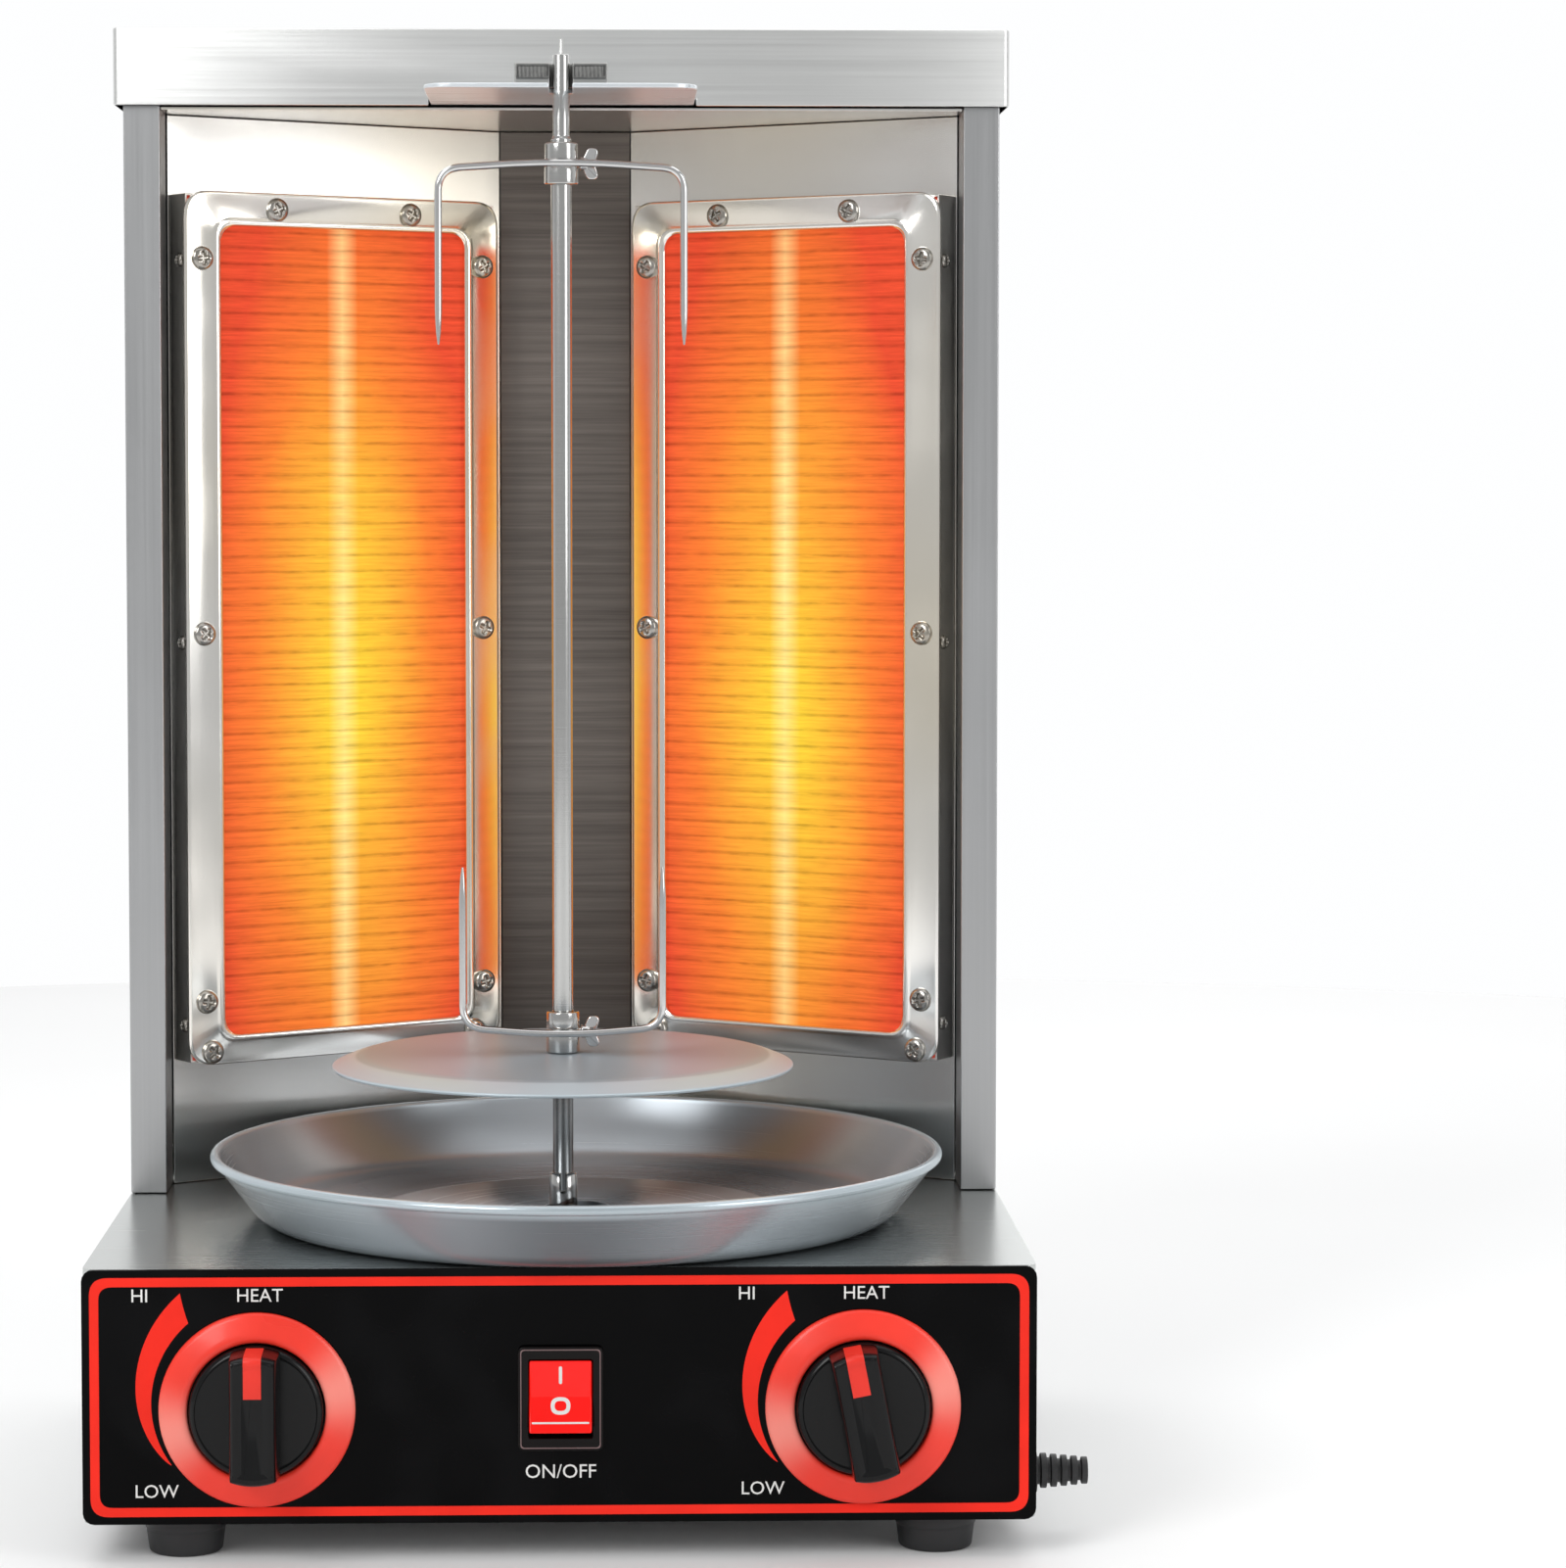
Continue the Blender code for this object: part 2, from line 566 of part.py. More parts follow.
# --------------------------------------------------------------------------------------------------- heaters
def make_heater(side, outward, assembly, finishes):
    """Reflector and heater of one side. In their empty's frame x runs along the reflector from the post to
    the column (towards -x on the right side), and -y points out of it into the cooking space."""
    inward = -outward
    start = (outward * POST_INNER, REFLECTOR_FRONT, 0)
    corner = empty(f"heater_axis_{side}", assembly, start, inward * REFLECTOR_ANGLE)

    def along(start, end, front, back, low, high):
        """A box from start to end along the reflector, between two distances in front of it."""
        xs = sorted((inward * start, inward * end))
        return block((xs[0], -front, low), (xs[1], -back, high))

    first = GAP / math.sin(REFLECTOR_ANGLE)
    last = REFLECTOR_LENGTH - GAP / math.cos(REFLECTOR_ANGLE)
    sheet = along(first, last, 0, -SHEET, BASE_TOP + GAP, CEILING_BOTTOM - GAP)
    place(f"reflector_{side}", sheet, finishes["bright"], corner)

    edge = SHEET
    low, high = HEATER_BOTTOM + edge, HEATER_TOP - edge
    lid = HEATER_DEPTH - GAP
    tray = along(edge, HEATER_WIDTH - edge, lid, GAP, low, high)
    box = place(f"heater_box_{side}", tray, finishes["bright"], corner)
    wall = edge + HEATER_WALL
    inner_low, inner_high = low + HEATER_WALL, high - HEATER_WALL
    inner = along(wall, HEATER_WIDTH - wall, lid + THROUGH, GAP + HEATER_WALL, inner_low, inner_high)
    cut(box, "hollow", inner)

    fit = wall + GAP
    bottom, top = inner_low + GAP, inner_high - GAP
    board_back = 2 * GAP + HEATER_WALL
    board_front = board_back + BOARD_THICKNESS
    board = along(fit, HEATER_WIDTH - fit, board_front, board_back, bottom, top)
    place(f"insulation_board_{side}", board, finishes["board"], corner)

    element_depth = board_front + GAP + ELEMENT_RADIUS
    make_element(side, inward, element_depth, corner, finishes)

    plate_back = element_depth + ELEMENT_RADIUS + GAP
    plate = along(fit, HEATER_WIDTH - fit, plate_back + PLATE_THICKNESS, plate_back, bottom, top)
    place(f"heater_plate_{side}", plate, finishes["glow"], corner)

    height = HEATER_TOP - HEATER_BOTTOM
    centre = (inward * HEATER_WIDTH / 2, -HEATER_DEPTH - FRAME_THICKNESS, HEATER_BOTTOM + height / 2)
    frame = place(
        f"heater_frame_{side}",
        prism(rounded_rectangle(HEATER_WIDTH, height, FRAME_CORNER), FRAME_THICKNESS, "Y"),
        finishes["bright"],
        corner,
        centre,
    )
    opening_height = height - FRAME_TOP_BORDER - FRAME_BOTTOM_BORDER
    opening = rounded_rectangle(HEATER_WIDTH - 2 * FRAME_SIDE_BORDER, opening_height, FRAME_OPENING_CORNER)
    opening_z = (FRAME_BOTTOM_BORDER - FRAME_TOP_BORDER) / 2
    cut(frame, "opening", prism(opening, THROUGH, "Y"), (0, -THROUGH / 2, opening_z))


def make_element(side, inward, depth, corner, finishes):
    """A resistance rod in upright runs, joined by half turns above and below."""
    pitch = (HEATER_WIDTH - 2 * ELEMENT_MARGIN) / (ELEMENT_RUNS - 1)
    bend = pitch / 2
    low = HEATER_BOTTOM + ELEMENT_MARGIN + bend
    high = HEATER_TOP - ELEMENT_MARGIN - bend
    path = [(ELEMENT_MARGIN, low - bend)]
    for run in range(ELEMENT_RUNS - 1):
        x = ELEMENT_MARGIN + pitch * (run + 0.5)
        upwards = run % 2 == 0
        path += arc((x, high if upwards else low), bend, 180, 0 if upwards else 360, 6)
    path.append((HEATER_WIDTH - ELEMENT_MARGIN, low - bend if ELEMENT_RUNS % 2 == 0 else high + bend))
    points = [(inward * x, -depth, z) for x, z in path]
    rod_curve(f"heating_element_{side}", points, ELEMENT_RADIUS, finishes["dark_steel"], corner)


# ------------------------------------------------------------------------------------------------------ spit
def make_drive(axis, finishes):
    """The motor shaft and the coupling on it: a socket for the spit, crossed by two slots for its blade."""
    web = SOCKET_FLOOR - COUPLING_WEB
    coupling = place(
        "drive_coupling",
        prism(circle(COUPLING_RADIUS), COUPLING_HEIGHT),
        finishes["bright"],
        axis,
        (0, 0, COUPLING_BOTTOM),
    )
    floor = SOCKET_FLOOR - COUPLING_BOTTOM
    deep = COUPLING_HEIGHT + THROUGH
    cut(coupling, "socket", prism(circle(SPIT_RADIUS + GAP), deep), (0, 0, floor))
    long_slot = rounded_rectangle(2 * COUPLING_RADIUS + THROUGH, SOCKET_SLOT, SOCKET_SLOT * 0.2, 1)
    cut(coupling, "slot_across", prism(long_slot, deep), (0, 0, floor))
    cut(coupling, "slot_through", prism(long_slot, deep), (0, 0, floor), (0, 0, math.pi / 2))
    bore = prism(circle(SHAFT_RADIUS + GAP), deep)
    cut(coupling, "shaft_bore", bore, (0, 0, web - COUPLING_BOTTOM - deep))

    motor_top = motor_bracket_bottom() - GAP
    shaft = prism(circle(SHAFT_RADIUS), web - GAP - motor_top - GAP)
    place("motor_shaft", shaft, finishes["steel"], axis, (0, 0, motor_top + GAP))


def motor_bracket_bottom():
    return BASE_TOP - SHEET - GAP - MOTOR_BRACKET_DROP


def make_motor(axis, finishes):
    """The round gear motor and the hat-shaped bracket that hangs it under the base's top."""
    top = motor_bracket_bottom() - GAP
    drawn_edge, crimped_edge = 0.002, 0.001
    profile = [
        (0, top - MOTOR_HEIGHT),
        (MOTOR_RADIUS - drawn_edge, top - MOTOR_HEIGHT),
        (MOTOR_RADIUS, top - MOTOR_HEIGHT + drawn_edge),
        (MOTOR_RADIUS, top - crimped_edge),
        (MOTOR_RADIUS - crimped_edge, top),
        (0, top),
    ]
    place("gear_motor", turned(profile, False, SMALL_STEPS), finishes["steel"], axis)

    half = MOTOR_BRACKET_SPAN / 2
    ledge = MOTOR_BRACKET_DROP - MOTOR_BRACKET_SHEET
    hat = [
        (-half - MOTOR_BRACKET_FLANGE, ledge),
        (-half, ledge),
        (-half, 0),
        (half, 0),
        (half, ledge),
        (half + MOTOR_BRACKET_FLANGE, ledge),
    ]
    bracket = place(
        "motor_bracket",
        prism(bent_sheet(hat[::-1], MOTOR_BRACKET_SHEET), MOTOR_BRACKET_DEPTH, "Y"),
        finishes["steel"],
        axis,
        (0, -MOTOR_BRACKET_DEPTH / 2, motor_bracket_bottom() + MOTOR_BRACKET_SHEET),
    )
    hole = prism(circle(SHAFT_HOLE_RADIUS), THROUGH)
    cut(bracket, "shaft_hole", hole, (0, MOTOR_BRACKET_DEPTH / 2, -THROUGH / 2 - MOTOR_BRACKET_SHEET / 2))


def make_spit(axis, finishes):
    """The rod with its needle and its blade, the disc that carries the food, and the hub under the disc."""
    bottom = SOCKET_FLOOR + GAP
    shoulder = CANOPY_BOTTOM + SPIT_RISE
    chamfer = 0.0006
    profile = [
        (0, bottom),
        (SPIT_RADIUS - chamfer, bottom),
        (SPIT_RADIUS, bottom + chamfer),
        (SPIT_RADIUS, shoulder - chamfer),
        (SPIT_RADIUS - chamfer, shoulder),
        (NEEDLE_RADIUS, shoulder),
        (NEEDLE_RADIUS * 0.7, shoulder + NEEDLE_LENGTH),
        (0, shoulder + NEEDLE_LENGTH),
    ]
    rod = place("spit_rod", turned(profile, False, SMALL_STEPS), finishes["bright"], axis)
    half_blade = SOCKET_SLOT / 2 - GAP
    reach = COUPLING_RADIUS - GAP
    blade = block((-reach, -half_blade, bottom + GAP), (reach, half_blade, bottom + BLADE_HEIGHT))
    join(rod, "blade", blade)

    hole = SPIT_RADIUS + GAP
    rim = -DISC_RIM_DROP
    disc = [
        (hole, 0),
        (DISC_FLAT_RADIUS, 0),
        (DISC_FLAT_RADIUS + 0.002, -0.0003),
        (DISC_RADIUS, rim),
        (DISC_RADIUS - 0.0004, rim - 0.0009),
        (DISC_FLAT_RADIUS + 0.001, -DISC_THICKNESS - 0.0003),
        (DISC_FLAT_RADIUS - 0.001, -DISC_THICKNESS),
        (hole, -DISC_THICKNESS),
    ]
    place("meat_disc", turned(disc, True), finishes["steel"], axis, (0, 0, DISC_TOP))
    hub_top = DISC_TOP - DISC_THICKNESS - GAP
    hub = turned(tube_profile(hole, HUB_RADIUS, HUB_HEIGHT), True, SMALL_STEPS)
    place("disc_hub", hub, finishes["steel"], axis, (0, 0, hub_top - HUB_HEIGHT))


def tube_profile(inner, outer, height, chamfer=0.0005):
    """Section of a plain tube whose outer edges are chamfered."""
    return [
        (inner, 0),
        (outer - chamfer, 0),
        (outer, chamfer),
        (outer, height - chamfer),
        (outer - chamfer, height),
        (inner, height),
    ]


def make_fork(name, upwards, span, leg, collar_bottom, axis, finishes):
    """A wire fork, its clamping collar and the collar's thumbscrew. Legs point up on the lower fork."""
    collar = place(
        f"{name}_collar",
        turned(tube_profile(SPIT_RADIUS + GAP, COLLAR_RADIUS, COLLAR_HEIGHT), True, SMALL_STEPS),
        finishes["bright"],
        axis,
        (0, 0, collar_bottom),
    )
    middle = COLLAR_HEIGHT / 2
    screw_hole = prism(circle(SCREW_RADIUS + GAP, 12), 2 * COLLAR_RADIUS, "X")
    cut(collar, "screw_hole", screw_hole, (SPIT_RADIUS / 2, 0, middle))
    make_thumbscrew(f"{name}_thumbscrew", collar_bottom + middle, axis, finishes)

    half = span / 2
    shoulder = half - FORK_CORNER
    bar = [(x * shoulder / 4, FORK_BOW * (1 - (x / 4) ** 2)) for x in range(-4, 5)]
    left = arc((-shoulder, -FORK_CORNER), FORK_CORNER, 180, 90, 5)[:-1]
    right = arc((shoulder, -FORK_CORNER), FORK_CORNER, 90, 0, 5)[1:]
    tips = [-leg, -leg + 0.004, -leg + 0.009]
    outline = [(-half, z) for z in tips] + left + bar + right + [(half, z) for z in tips[::-1]]
    sign = -1 if upwards else 1
    level = collar_bottom + middle - sign * FORK_BOW * 0.8
    points = [(x, -FORK_FORWARD, level + sign * z) for x, z in outline]
    rod_curve(f"{name}_wire", points, WIRE_RADIUS, finishes["bright"], axis, taper=(0.25, 0.7))


def make_thumbscrew(name, height, axis, finishes):
    """A wing screw along X, its tip just short of the rod; its origin is on its own axis."""
    tip = SPIT_RADIUS + GAP
    neck = COLLAR_RADIUS + GAP
    head_radius, head = SCREW_RADIUS + 0.0009, neck + 0.0026
    profile = [
        (0, tip),
        (SCREW_RADIUS, tip),
        (SCREW_RADIUS, neck),
        (head_radius, neck),
        (head_radius, head),
        (0, head),
    ]
    screw = place(name, turned(profile, False, 12, "X"), finishes["bright"], axis, (0, 0, height))
    root, inner, outer = neck + 0.0012, neck + 0.0024, neck + 0.0062
    waist = 0.0012
    upper = [(root, waist), (inner, WING_REACH), (outer, WING_REACH), (outer - waist, waist)]
    wings = [*upper, *[(x, -z) for x, z in upper[::-1]]]
    join(screw, "wings", prism(wings, WING_THICKNESS, "Y"), (0, -WING_THICKNESS / 2, 0))


# ------------------------------------------------------------------------------------------------------- pan
def make_pan(axis, finishes):
    """A round pan with sloping wall, rolled rim and a low lip around its hole for the drive."""
    bead_centre = (PAN_RADIUS - PAN_BEAD, PAN_HEIGHT - PAN_BEAD)
    floor_radius = PAN_RADIUS - PAN_WALL_RUN
    corner = 0.003
    profile = [
        (PAN_HOLE_RADIUS, 0),
        (floor_radius - corner, 0),
        (floor_radius - corner * 0.3, corner * 0.3),
        (floor_radius + corner * 0.2, corner),
        *arc(bead_centre, PAN_BEAD, -100, 170, 7),
        (floor_radius + corner * 0.2 - PAN_SHEET, corner + PAN_SHEET * 0.3),
        (floor_radius - corner, PAN_SHEET),
        (PAN_HOLE_RADIUS + PAN_SHEET, PAN_SHEET),
        (PAN_HOLE_RADIUS + PAN_SHEET, PAN_LIP),
        (PAN_HOLE_RADIUS, PAN_LIP),
    ]
    place("drip_pan", turned(profile, True), finishes["steel"], axis, (PAN_SHIFT, 0, BASE_TOP + GAP))


# --------------------------------------------------------------------------------------------------- bracket
def make_bracket(assembly, finishes):
    """Plate under the canopy's front, slotted from its nose, and the block that steadies the spit."""
    length = BRACKET_TAIL + SPIT_FORWARD + BRACKET_NOSE
    half = BRACKET_WIDTH / 2
    inset = half - BRACKET_CORNER
    nose = -BRACKET_NOSE
    outline = [
        *arc((-inset, nose + BRACKET_CORNER), BRACKET_CORNER, 180, 270, 5),
        *arc((inset, nose + BRACKET_CORNER), BRACKET_CORNER, 270, 360, 5),
        (half, nose + length),
        (-half, nose + length),
    ]
    sheet = prism(outline, BRACKET_THICKNESS)
    plate = place("spit_bracket", sheet, finishes["steel"], assembly, (0, SPIT_Y, BRACKET_BOTTOM))
    slot = slot_outline(2 * BRACKET_SLOT, BRACKET_NOSE + THROUGH)
    cut(plate, "slot", prism(slot, THROUGH), (0, 0, -THROUGH / 2))

    half_rest = REST_BLOCK_WIDTH / 2
    front, back = -REST_BLOCK_LEAD, REST_BLOCK_DEPTH - REST_BLOCK_LEAD
    rest = place(
        "spit_rest",
        block((-half_rest, front, 0), (half_rest, back, REST_BLOCK_HEIGHT)),
        finishes["dark_steel"],
        assembly,
        (0, SPIT_Y, BRACKET_BOTTOM + BRACKET_THICKNESS + GAP),
    )
    cut(rest, "notch", prism(slot, REST_BLOCK_HEIGHT + THROUGH), (0, 0, -THROUGH / 2))


# -------------------------------------------------------------------------------------------------- controls
def make_control(side, outward, turn, assembly, finishes):
    """Knob, its printed ring, the shaft it turns and the heat control behind the panel."""
    knob_x = outward * (BASE_WIDTH / 2 - KNOB_INSET)
    axis = empty(f"control_axis_{side}", assembly, (knob_x, BEZEL_BACK, KNOB_Z))
    inner = KNOB_RADIUS + BEZEL_CLEARANCE
    chamfer, crest = 0.0006, 0.0016
    ring = [
        (inner, 0),
        (BEZEL_RADIUS, 0),
        (BEZEL_RADIUS, 0.001),
        (BEZEL_RADIUS - chamfer, 0.001 + chamfer),
        (inner + chamfer + crest, BEZEL_HEIGHT),
        (inner + chamfer, BEZEL_HEIGHT),
        (inner, BEZEL_HEIGHT - chamfer),
    ]
    place(f"knob_ring_{side}", turned(ring, True, along="-Y"), finishes["red"], axis)

    edge = 0.001
    skirt = [
        (0, GAP),
        (KNOB_RADIUS, GAP),
        (KNOB_RADIUS, KNOB_SKIRT - edge),
        (KNOB_RADIUS - edge, KNOB_SKIRT),
        (0, KNOB_SKIRT),
    ]
    disc = turned(skirt, False, along="-Y")
    knob = place(f"knob_{side}", disc, finishes["black"], axis, rotation=(0, turn, 0))
    half = GRIP_WIDTH / 2
    end = math.degrees(math.asin(half / KNOB_RADIUS))
    grip_radius = KNOB_RADIUS - GAP
    upper_end = arc((0, 0), grip_radius, 90 - end, 90 + end, 6)
    lower_end = arc((0, 0), grip_radius, 270 - end, 270 + end, 6)
    outline = upper_end + lower_end
    grip = prism(outline, KNOB_DEPTH - KNOB_SKIRT / 2, "Y")
    front = [edge for edge in grip.edges if all(vert.co.y < 1e-6 for vert in edge.verts)]
    bmesh.ops.bevel(grip, geom=front, offset=0.0012, segments=2, affect="EDGES", profile=0.5)
    join(knob, "grip", grip, (0, -KNOB_DEPTH, 0))
    cut(knob, "bore", prism(circle(SHAFT_RADIUS + GAP), 2 * KNOB_BORE_DEPTH, "Y"), (0, -KNOB_BORE_DEPTH, 0))

    behind = SHEET + GAP - BEZEL_BACK
    shaft_start = GAP - KNOB_BORE_DEPTH
    shaft_end = behind + CONTROL_BORE_DEPTH - GAP
    shaft = prism(circle(SHAFT_RADIUS), shaft_end - shaft_start, "Y")
    place(f"control_shaft_{side}", shaft, finishes["steel"], axis, (0, shaft_start, 0), (0, turn, 0))

    outline = rounded_rectangle(CONTROL_SIZE, CONTROL_SIZE, 0.003)
    case = prism(outline, CONTROL_DEPTH, "Y")
    body = place(f"heat_control_{side}", case, finishes["black"], axis, (0, behind, 0))
    bush_length = behind - GAP
    bush = prism(circle(CONTROL_BUSH_RADIUS), bush_length + SHEET, "Y")
    join(body, "bush", bush, (0, -bush_length, 0))
    bore_length = bush_length + CONTROL_BORE_DEPTH + THROUGH
    bore = prism(circle(SHAFT_RADIUS + GAP), bore_length, "Y")
    cut(body, "bore", bore, (0, CONTROL_BORE_DEPTH - bore_length, 0))


def make_switch(assembly, finishes):
    """The switch's bezel and body in one, and the rocker on its pivot; its upper side is pressed in."""
    axis = empty("switch_axis", assembly, (0, SWITCH_PIVOT_Y, SWITCH_Z))
    bezel_front = BEZEL_BACK - SWITCH_BEZEL_THICKNESS - SWITCH_PIVOT_Y
    bezel = rounded_rectangle(SWITCH_BEZEL_WIDTH, SWITCH_BEZEL_HEIGHT, SWITCH_BEZEL_CORNER)
    plate = prism(bezel, SWITCH_BEZEL_THICKNESS, "Y")
    housing = place("switch_housing", plate, finishes["black"], axis, (0, bezel_front, 0))
    body = rounded_rectangle(SWITCH_BODY_WIDTH, SWITCH_BODY_HEIGHT, SWITCH_BODY_CORNER)
    join(housing, "body", prism(body, SWITCH_BODY_DEPTH, "Y"), (0, SWITCH_BEZEL_THICKNESS / 2, 0))

    length = math.hypot(ROCKER_HALF_HEIGHT, ROCKER_FRONT)
    reach = length * math.cos(math.atan2(ROCKER_FRONT, ROCKER_HALF_HEIGHT) - ROCKER_TIP) + GAP
    well = rounded_rectangle(ROCKER_WIDTH + 2 * GAP, 2 * reach, SWITCH_BODY_CORNER / 2, 1)
    well_front = bezel_front - THROUGH
    cut(housing, "well", prism(well, ROCKER_WELL_DEPTH - well_front, "Y"), (0, well_front, 0))

    dip = ROCKER_HALF_HEIGHT * math.tan(ROCKER_TIP)
    outline = [
        (-ROCKER_FRONT, ROCKER_HALF_HEIGHT),
        (-ROCKER_FRONT + dip, 0),
        (-ROCKER_FRONT, -ROCKER_HALF_HEIGHT),
        (ROCKER_KEEL, -ROCKER_KEEL_HALF),
        (ROCKER_KEEL, ROCKER_KEEL_HALF),
    ]
    place(
        "switch_rocker",
        centred_along_x(prism(outline, ROCKER_WIDTH, "X"), ROCKER_WIDTH),
        finishes["red"],
        axis,
        rotation=(-ROCKER_TIP, 0, 0),
    )


def centred_along_x(shape, width):
    bmesh.ops.translate(shape, vec=(-width / 2, 0, 0), verts=shape.verts)
    return shape


# ------------------------------------------------------------------------------------------------- electrics
def make_electrics(assembly, finishes):
    """The ribbed cable gland in the base's right side, its nut, and the terminal block on the floor."""
    height = BASE_BOTTOM + GLAND_HEIGHT
    nut_outer = -SHEET - GAP
    shank_start = nut_outer - NUT_THICKNESS - SHEET
    flange = GAP + GLAND_FLANGE
    ribs = []
    pitch = (GLAND_REACH - flange) / GLAND_RIBS
    groove, flank = pitch * 0.35, pitch * 0.45
    for rib in range(GLAND_RIBS):
        start = flange + rib * pitch
        radius = GLAND_RADIUS - GLAND_RIB_TAPER * rib
        ribs += [
            (radius - GLAND_RIB_DEPTH, start),
            (radius - GLAND_RIB_DEPTH, start + groove),
            (radius, start + flank),
            (radius, start + pitch),
        ]
    profile = [
        (GLAND_BORE_RADIUS, shank_start),
        (GLAND_SHANK_RADIUS, shank_start),
        (GLAND_SHANK_RADIUS, GAP),
        (GLAND_RADIUS + GLAND_FLANGE_RIM, GAP),
        (GLAND_RADIUS + GLAND_FLANGE_RIM, flange),
        *ribs,
        (GLAND_BORE_RADIUS, GLAND_REACH),
    ]
    seat = (BASE_WIDTH / 2, GLAND_FROM_FRONT, height)
    place("cable_gland", turned(profile, True, SMALL_STEPS, "X"), finishes["rubber"], assembly, seat)

    nut = place(
        "gland_nut",
        prism(circle(NUT_RADIUS, 6), NUT_THICKNESS, "X"),
        finishes["brass"],
        assembly,
        (BASE_WIDTH / 2 + nut_outer - NUT_THICKNESS, GLAND_FROM_FRONT, height),
    )
    bore = prism(circle(GLAND_SHANK_RADIUS + GAP), NUT_THICKNESS + THROUGH, "X")
    cut(nut, "bore", bore, (-THROUGH / 2, 0, 0))

    width, depth, tall = TERMINAL_SIZE
    terminals = place(
        "terminal_block",
        block((-width / 2, -depth, 0), (width / 2, 0, tall)),
        finishes["black"],
        assembly,
        (0, BASE_DEPTH - 2 * FOOT_INSET_Y, BASE_BOTTOM + SHEET + GAP),
    )
    for way in range(TERMINAL_WAYS):
        well = prism(circle(TERMINAL_WELL_RADIUS, 12), THROUGH)
        x = (way - (TERMINAL_WAYS - 1) / 2) * width / TERMINAL_WAYS
        cut(terminals, f"way_{way}", well, (x, -depth / 2, tall - TERMINAL_WELL_DEPTH))


# -------------------------------------------------------------------------------------------------- assembly
def main():
    clear_scene()
    finishes = make_materials()
    assembly = empty("assembly", None, (-CENTRE_X, -CENTRE_Y, 0))
    make_base(assembly, finishes)
    make_cabinet(assembly, finishes)
    for side, outward in (("left", -1), ("right", 1)):
        make_heater(side, outward, assembly, finishes)

    spit_axis = empty("spit_axis", assembly, (0, SPIT_Y, 0))
    make_motor(spit_axis, finishes)
    make_drive(spit_axis, finishes)
    make_spit(spit_axis, finishes)
    make_fork("lower_fork", True, LOWER_FORK_SPAN, LOWER_FORK_LEG, LOWER_COLLAR_BOTTOM, spit_axis, finishes)
    make_fork("upper_fork", False, UPPER_FORK_SPAN, UPPER_FORK_LEG, UPPER_COLLAR_BOTTOM, spit_axis, finishes)
    make_pan(spit_axis, finishes)

    make_bracket(assembly, finishes)
    make_control("left", -1, 0, assembly, finishes)
    make_control("right", 1, RIGHT_KNOB_TURN, assembly, finishes)
    make_switch(assembly, finishes)
    make_electrics(assembly, finishes)


main()
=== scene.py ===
"""Looks of a small vertical rotisserie oven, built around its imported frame.

New pieces are surfaces worked out with numpy: a profile turned about an axis, a section carried along a
path, or a grid bent by a formula. Their places and sizes come from the frame's own nodes. Folded sheet pieces
are the frame's sheets with their edges rounded. Lengths are metres, X to the right, Y to the back and Z up.
"""

import json
import math

import bmesh
import bpy
import numpy as np
from mathutils import Matrix, Vector
from mathutils.bvhtree import BVHTree


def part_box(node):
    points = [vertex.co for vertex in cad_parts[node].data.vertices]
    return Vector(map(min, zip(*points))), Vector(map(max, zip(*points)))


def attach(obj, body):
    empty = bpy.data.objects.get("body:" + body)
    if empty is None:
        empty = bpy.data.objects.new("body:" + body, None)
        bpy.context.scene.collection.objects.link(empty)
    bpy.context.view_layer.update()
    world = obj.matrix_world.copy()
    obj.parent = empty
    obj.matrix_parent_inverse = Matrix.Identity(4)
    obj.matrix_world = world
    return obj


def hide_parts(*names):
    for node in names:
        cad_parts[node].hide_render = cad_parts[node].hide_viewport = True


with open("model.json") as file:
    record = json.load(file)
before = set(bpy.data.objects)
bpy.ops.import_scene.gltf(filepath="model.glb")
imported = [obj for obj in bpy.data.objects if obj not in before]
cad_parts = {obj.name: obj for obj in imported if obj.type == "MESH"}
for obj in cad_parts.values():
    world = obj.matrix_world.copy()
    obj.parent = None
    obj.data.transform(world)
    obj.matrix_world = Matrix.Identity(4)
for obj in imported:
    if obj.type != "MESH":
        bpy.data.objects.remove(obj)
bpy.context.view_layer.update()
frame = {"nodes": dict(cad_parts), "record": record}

RECORD = frame["record"]
BODY_OF = {node: body for body, nodes in RECORD["behaviour"]["bodies"].items() for node in nodes}
SLOT_OF = {part["node"]: part["material_slot"] for part in RECORD["subparts"]}
JOINTS = {joint["name"]: joint for joint in RECORD["behaviour"]["joints"]}
SIDES = (("left", -1), ("right", 1))
FRONTWARDS = Matrix.Rotation(math.radians(90), 3, "X")  # a shape drawn upright, its height towards the front

PRINT = 0.00012  # thickness of the print on the panel
SEAT = 0.00004  # how far a print or a screw head sinks into what carries it
PRINT_SECTION = [(0, -SEAT), (0, PRINT), (1, PRINT), (1, -SEAT)]
FIT = 0.0003  # play between the rod and what it goes through
GROOVE_PITCH = 0.0055
GROOVE_DEPTH = 0.00045
BRICK_LENGTH = 0.0125
UV, OBJECT = 2, 3  # outputs of a Texture Coordinate node


# ---- facts of the frame
def box(node):
    low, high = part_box(node)
    return np.array(low), np.array(high)


def middle(node):
    return sum(box(node)) / 2


def measured(node):
    """The node's lower and upper corners, its middle and its size."""
    low, high = box(node)
    return low, high, (low + high) / 2, high - low


def mesh_points(mesh):
    points = np.empty(len(mesh.vertices) * 3)
    mesh.vertices.foreach_get("co", points)
    return points.reshape(-1, 3)


def node_points(node):
    return mesh_points(frame["nodes"][node].data)


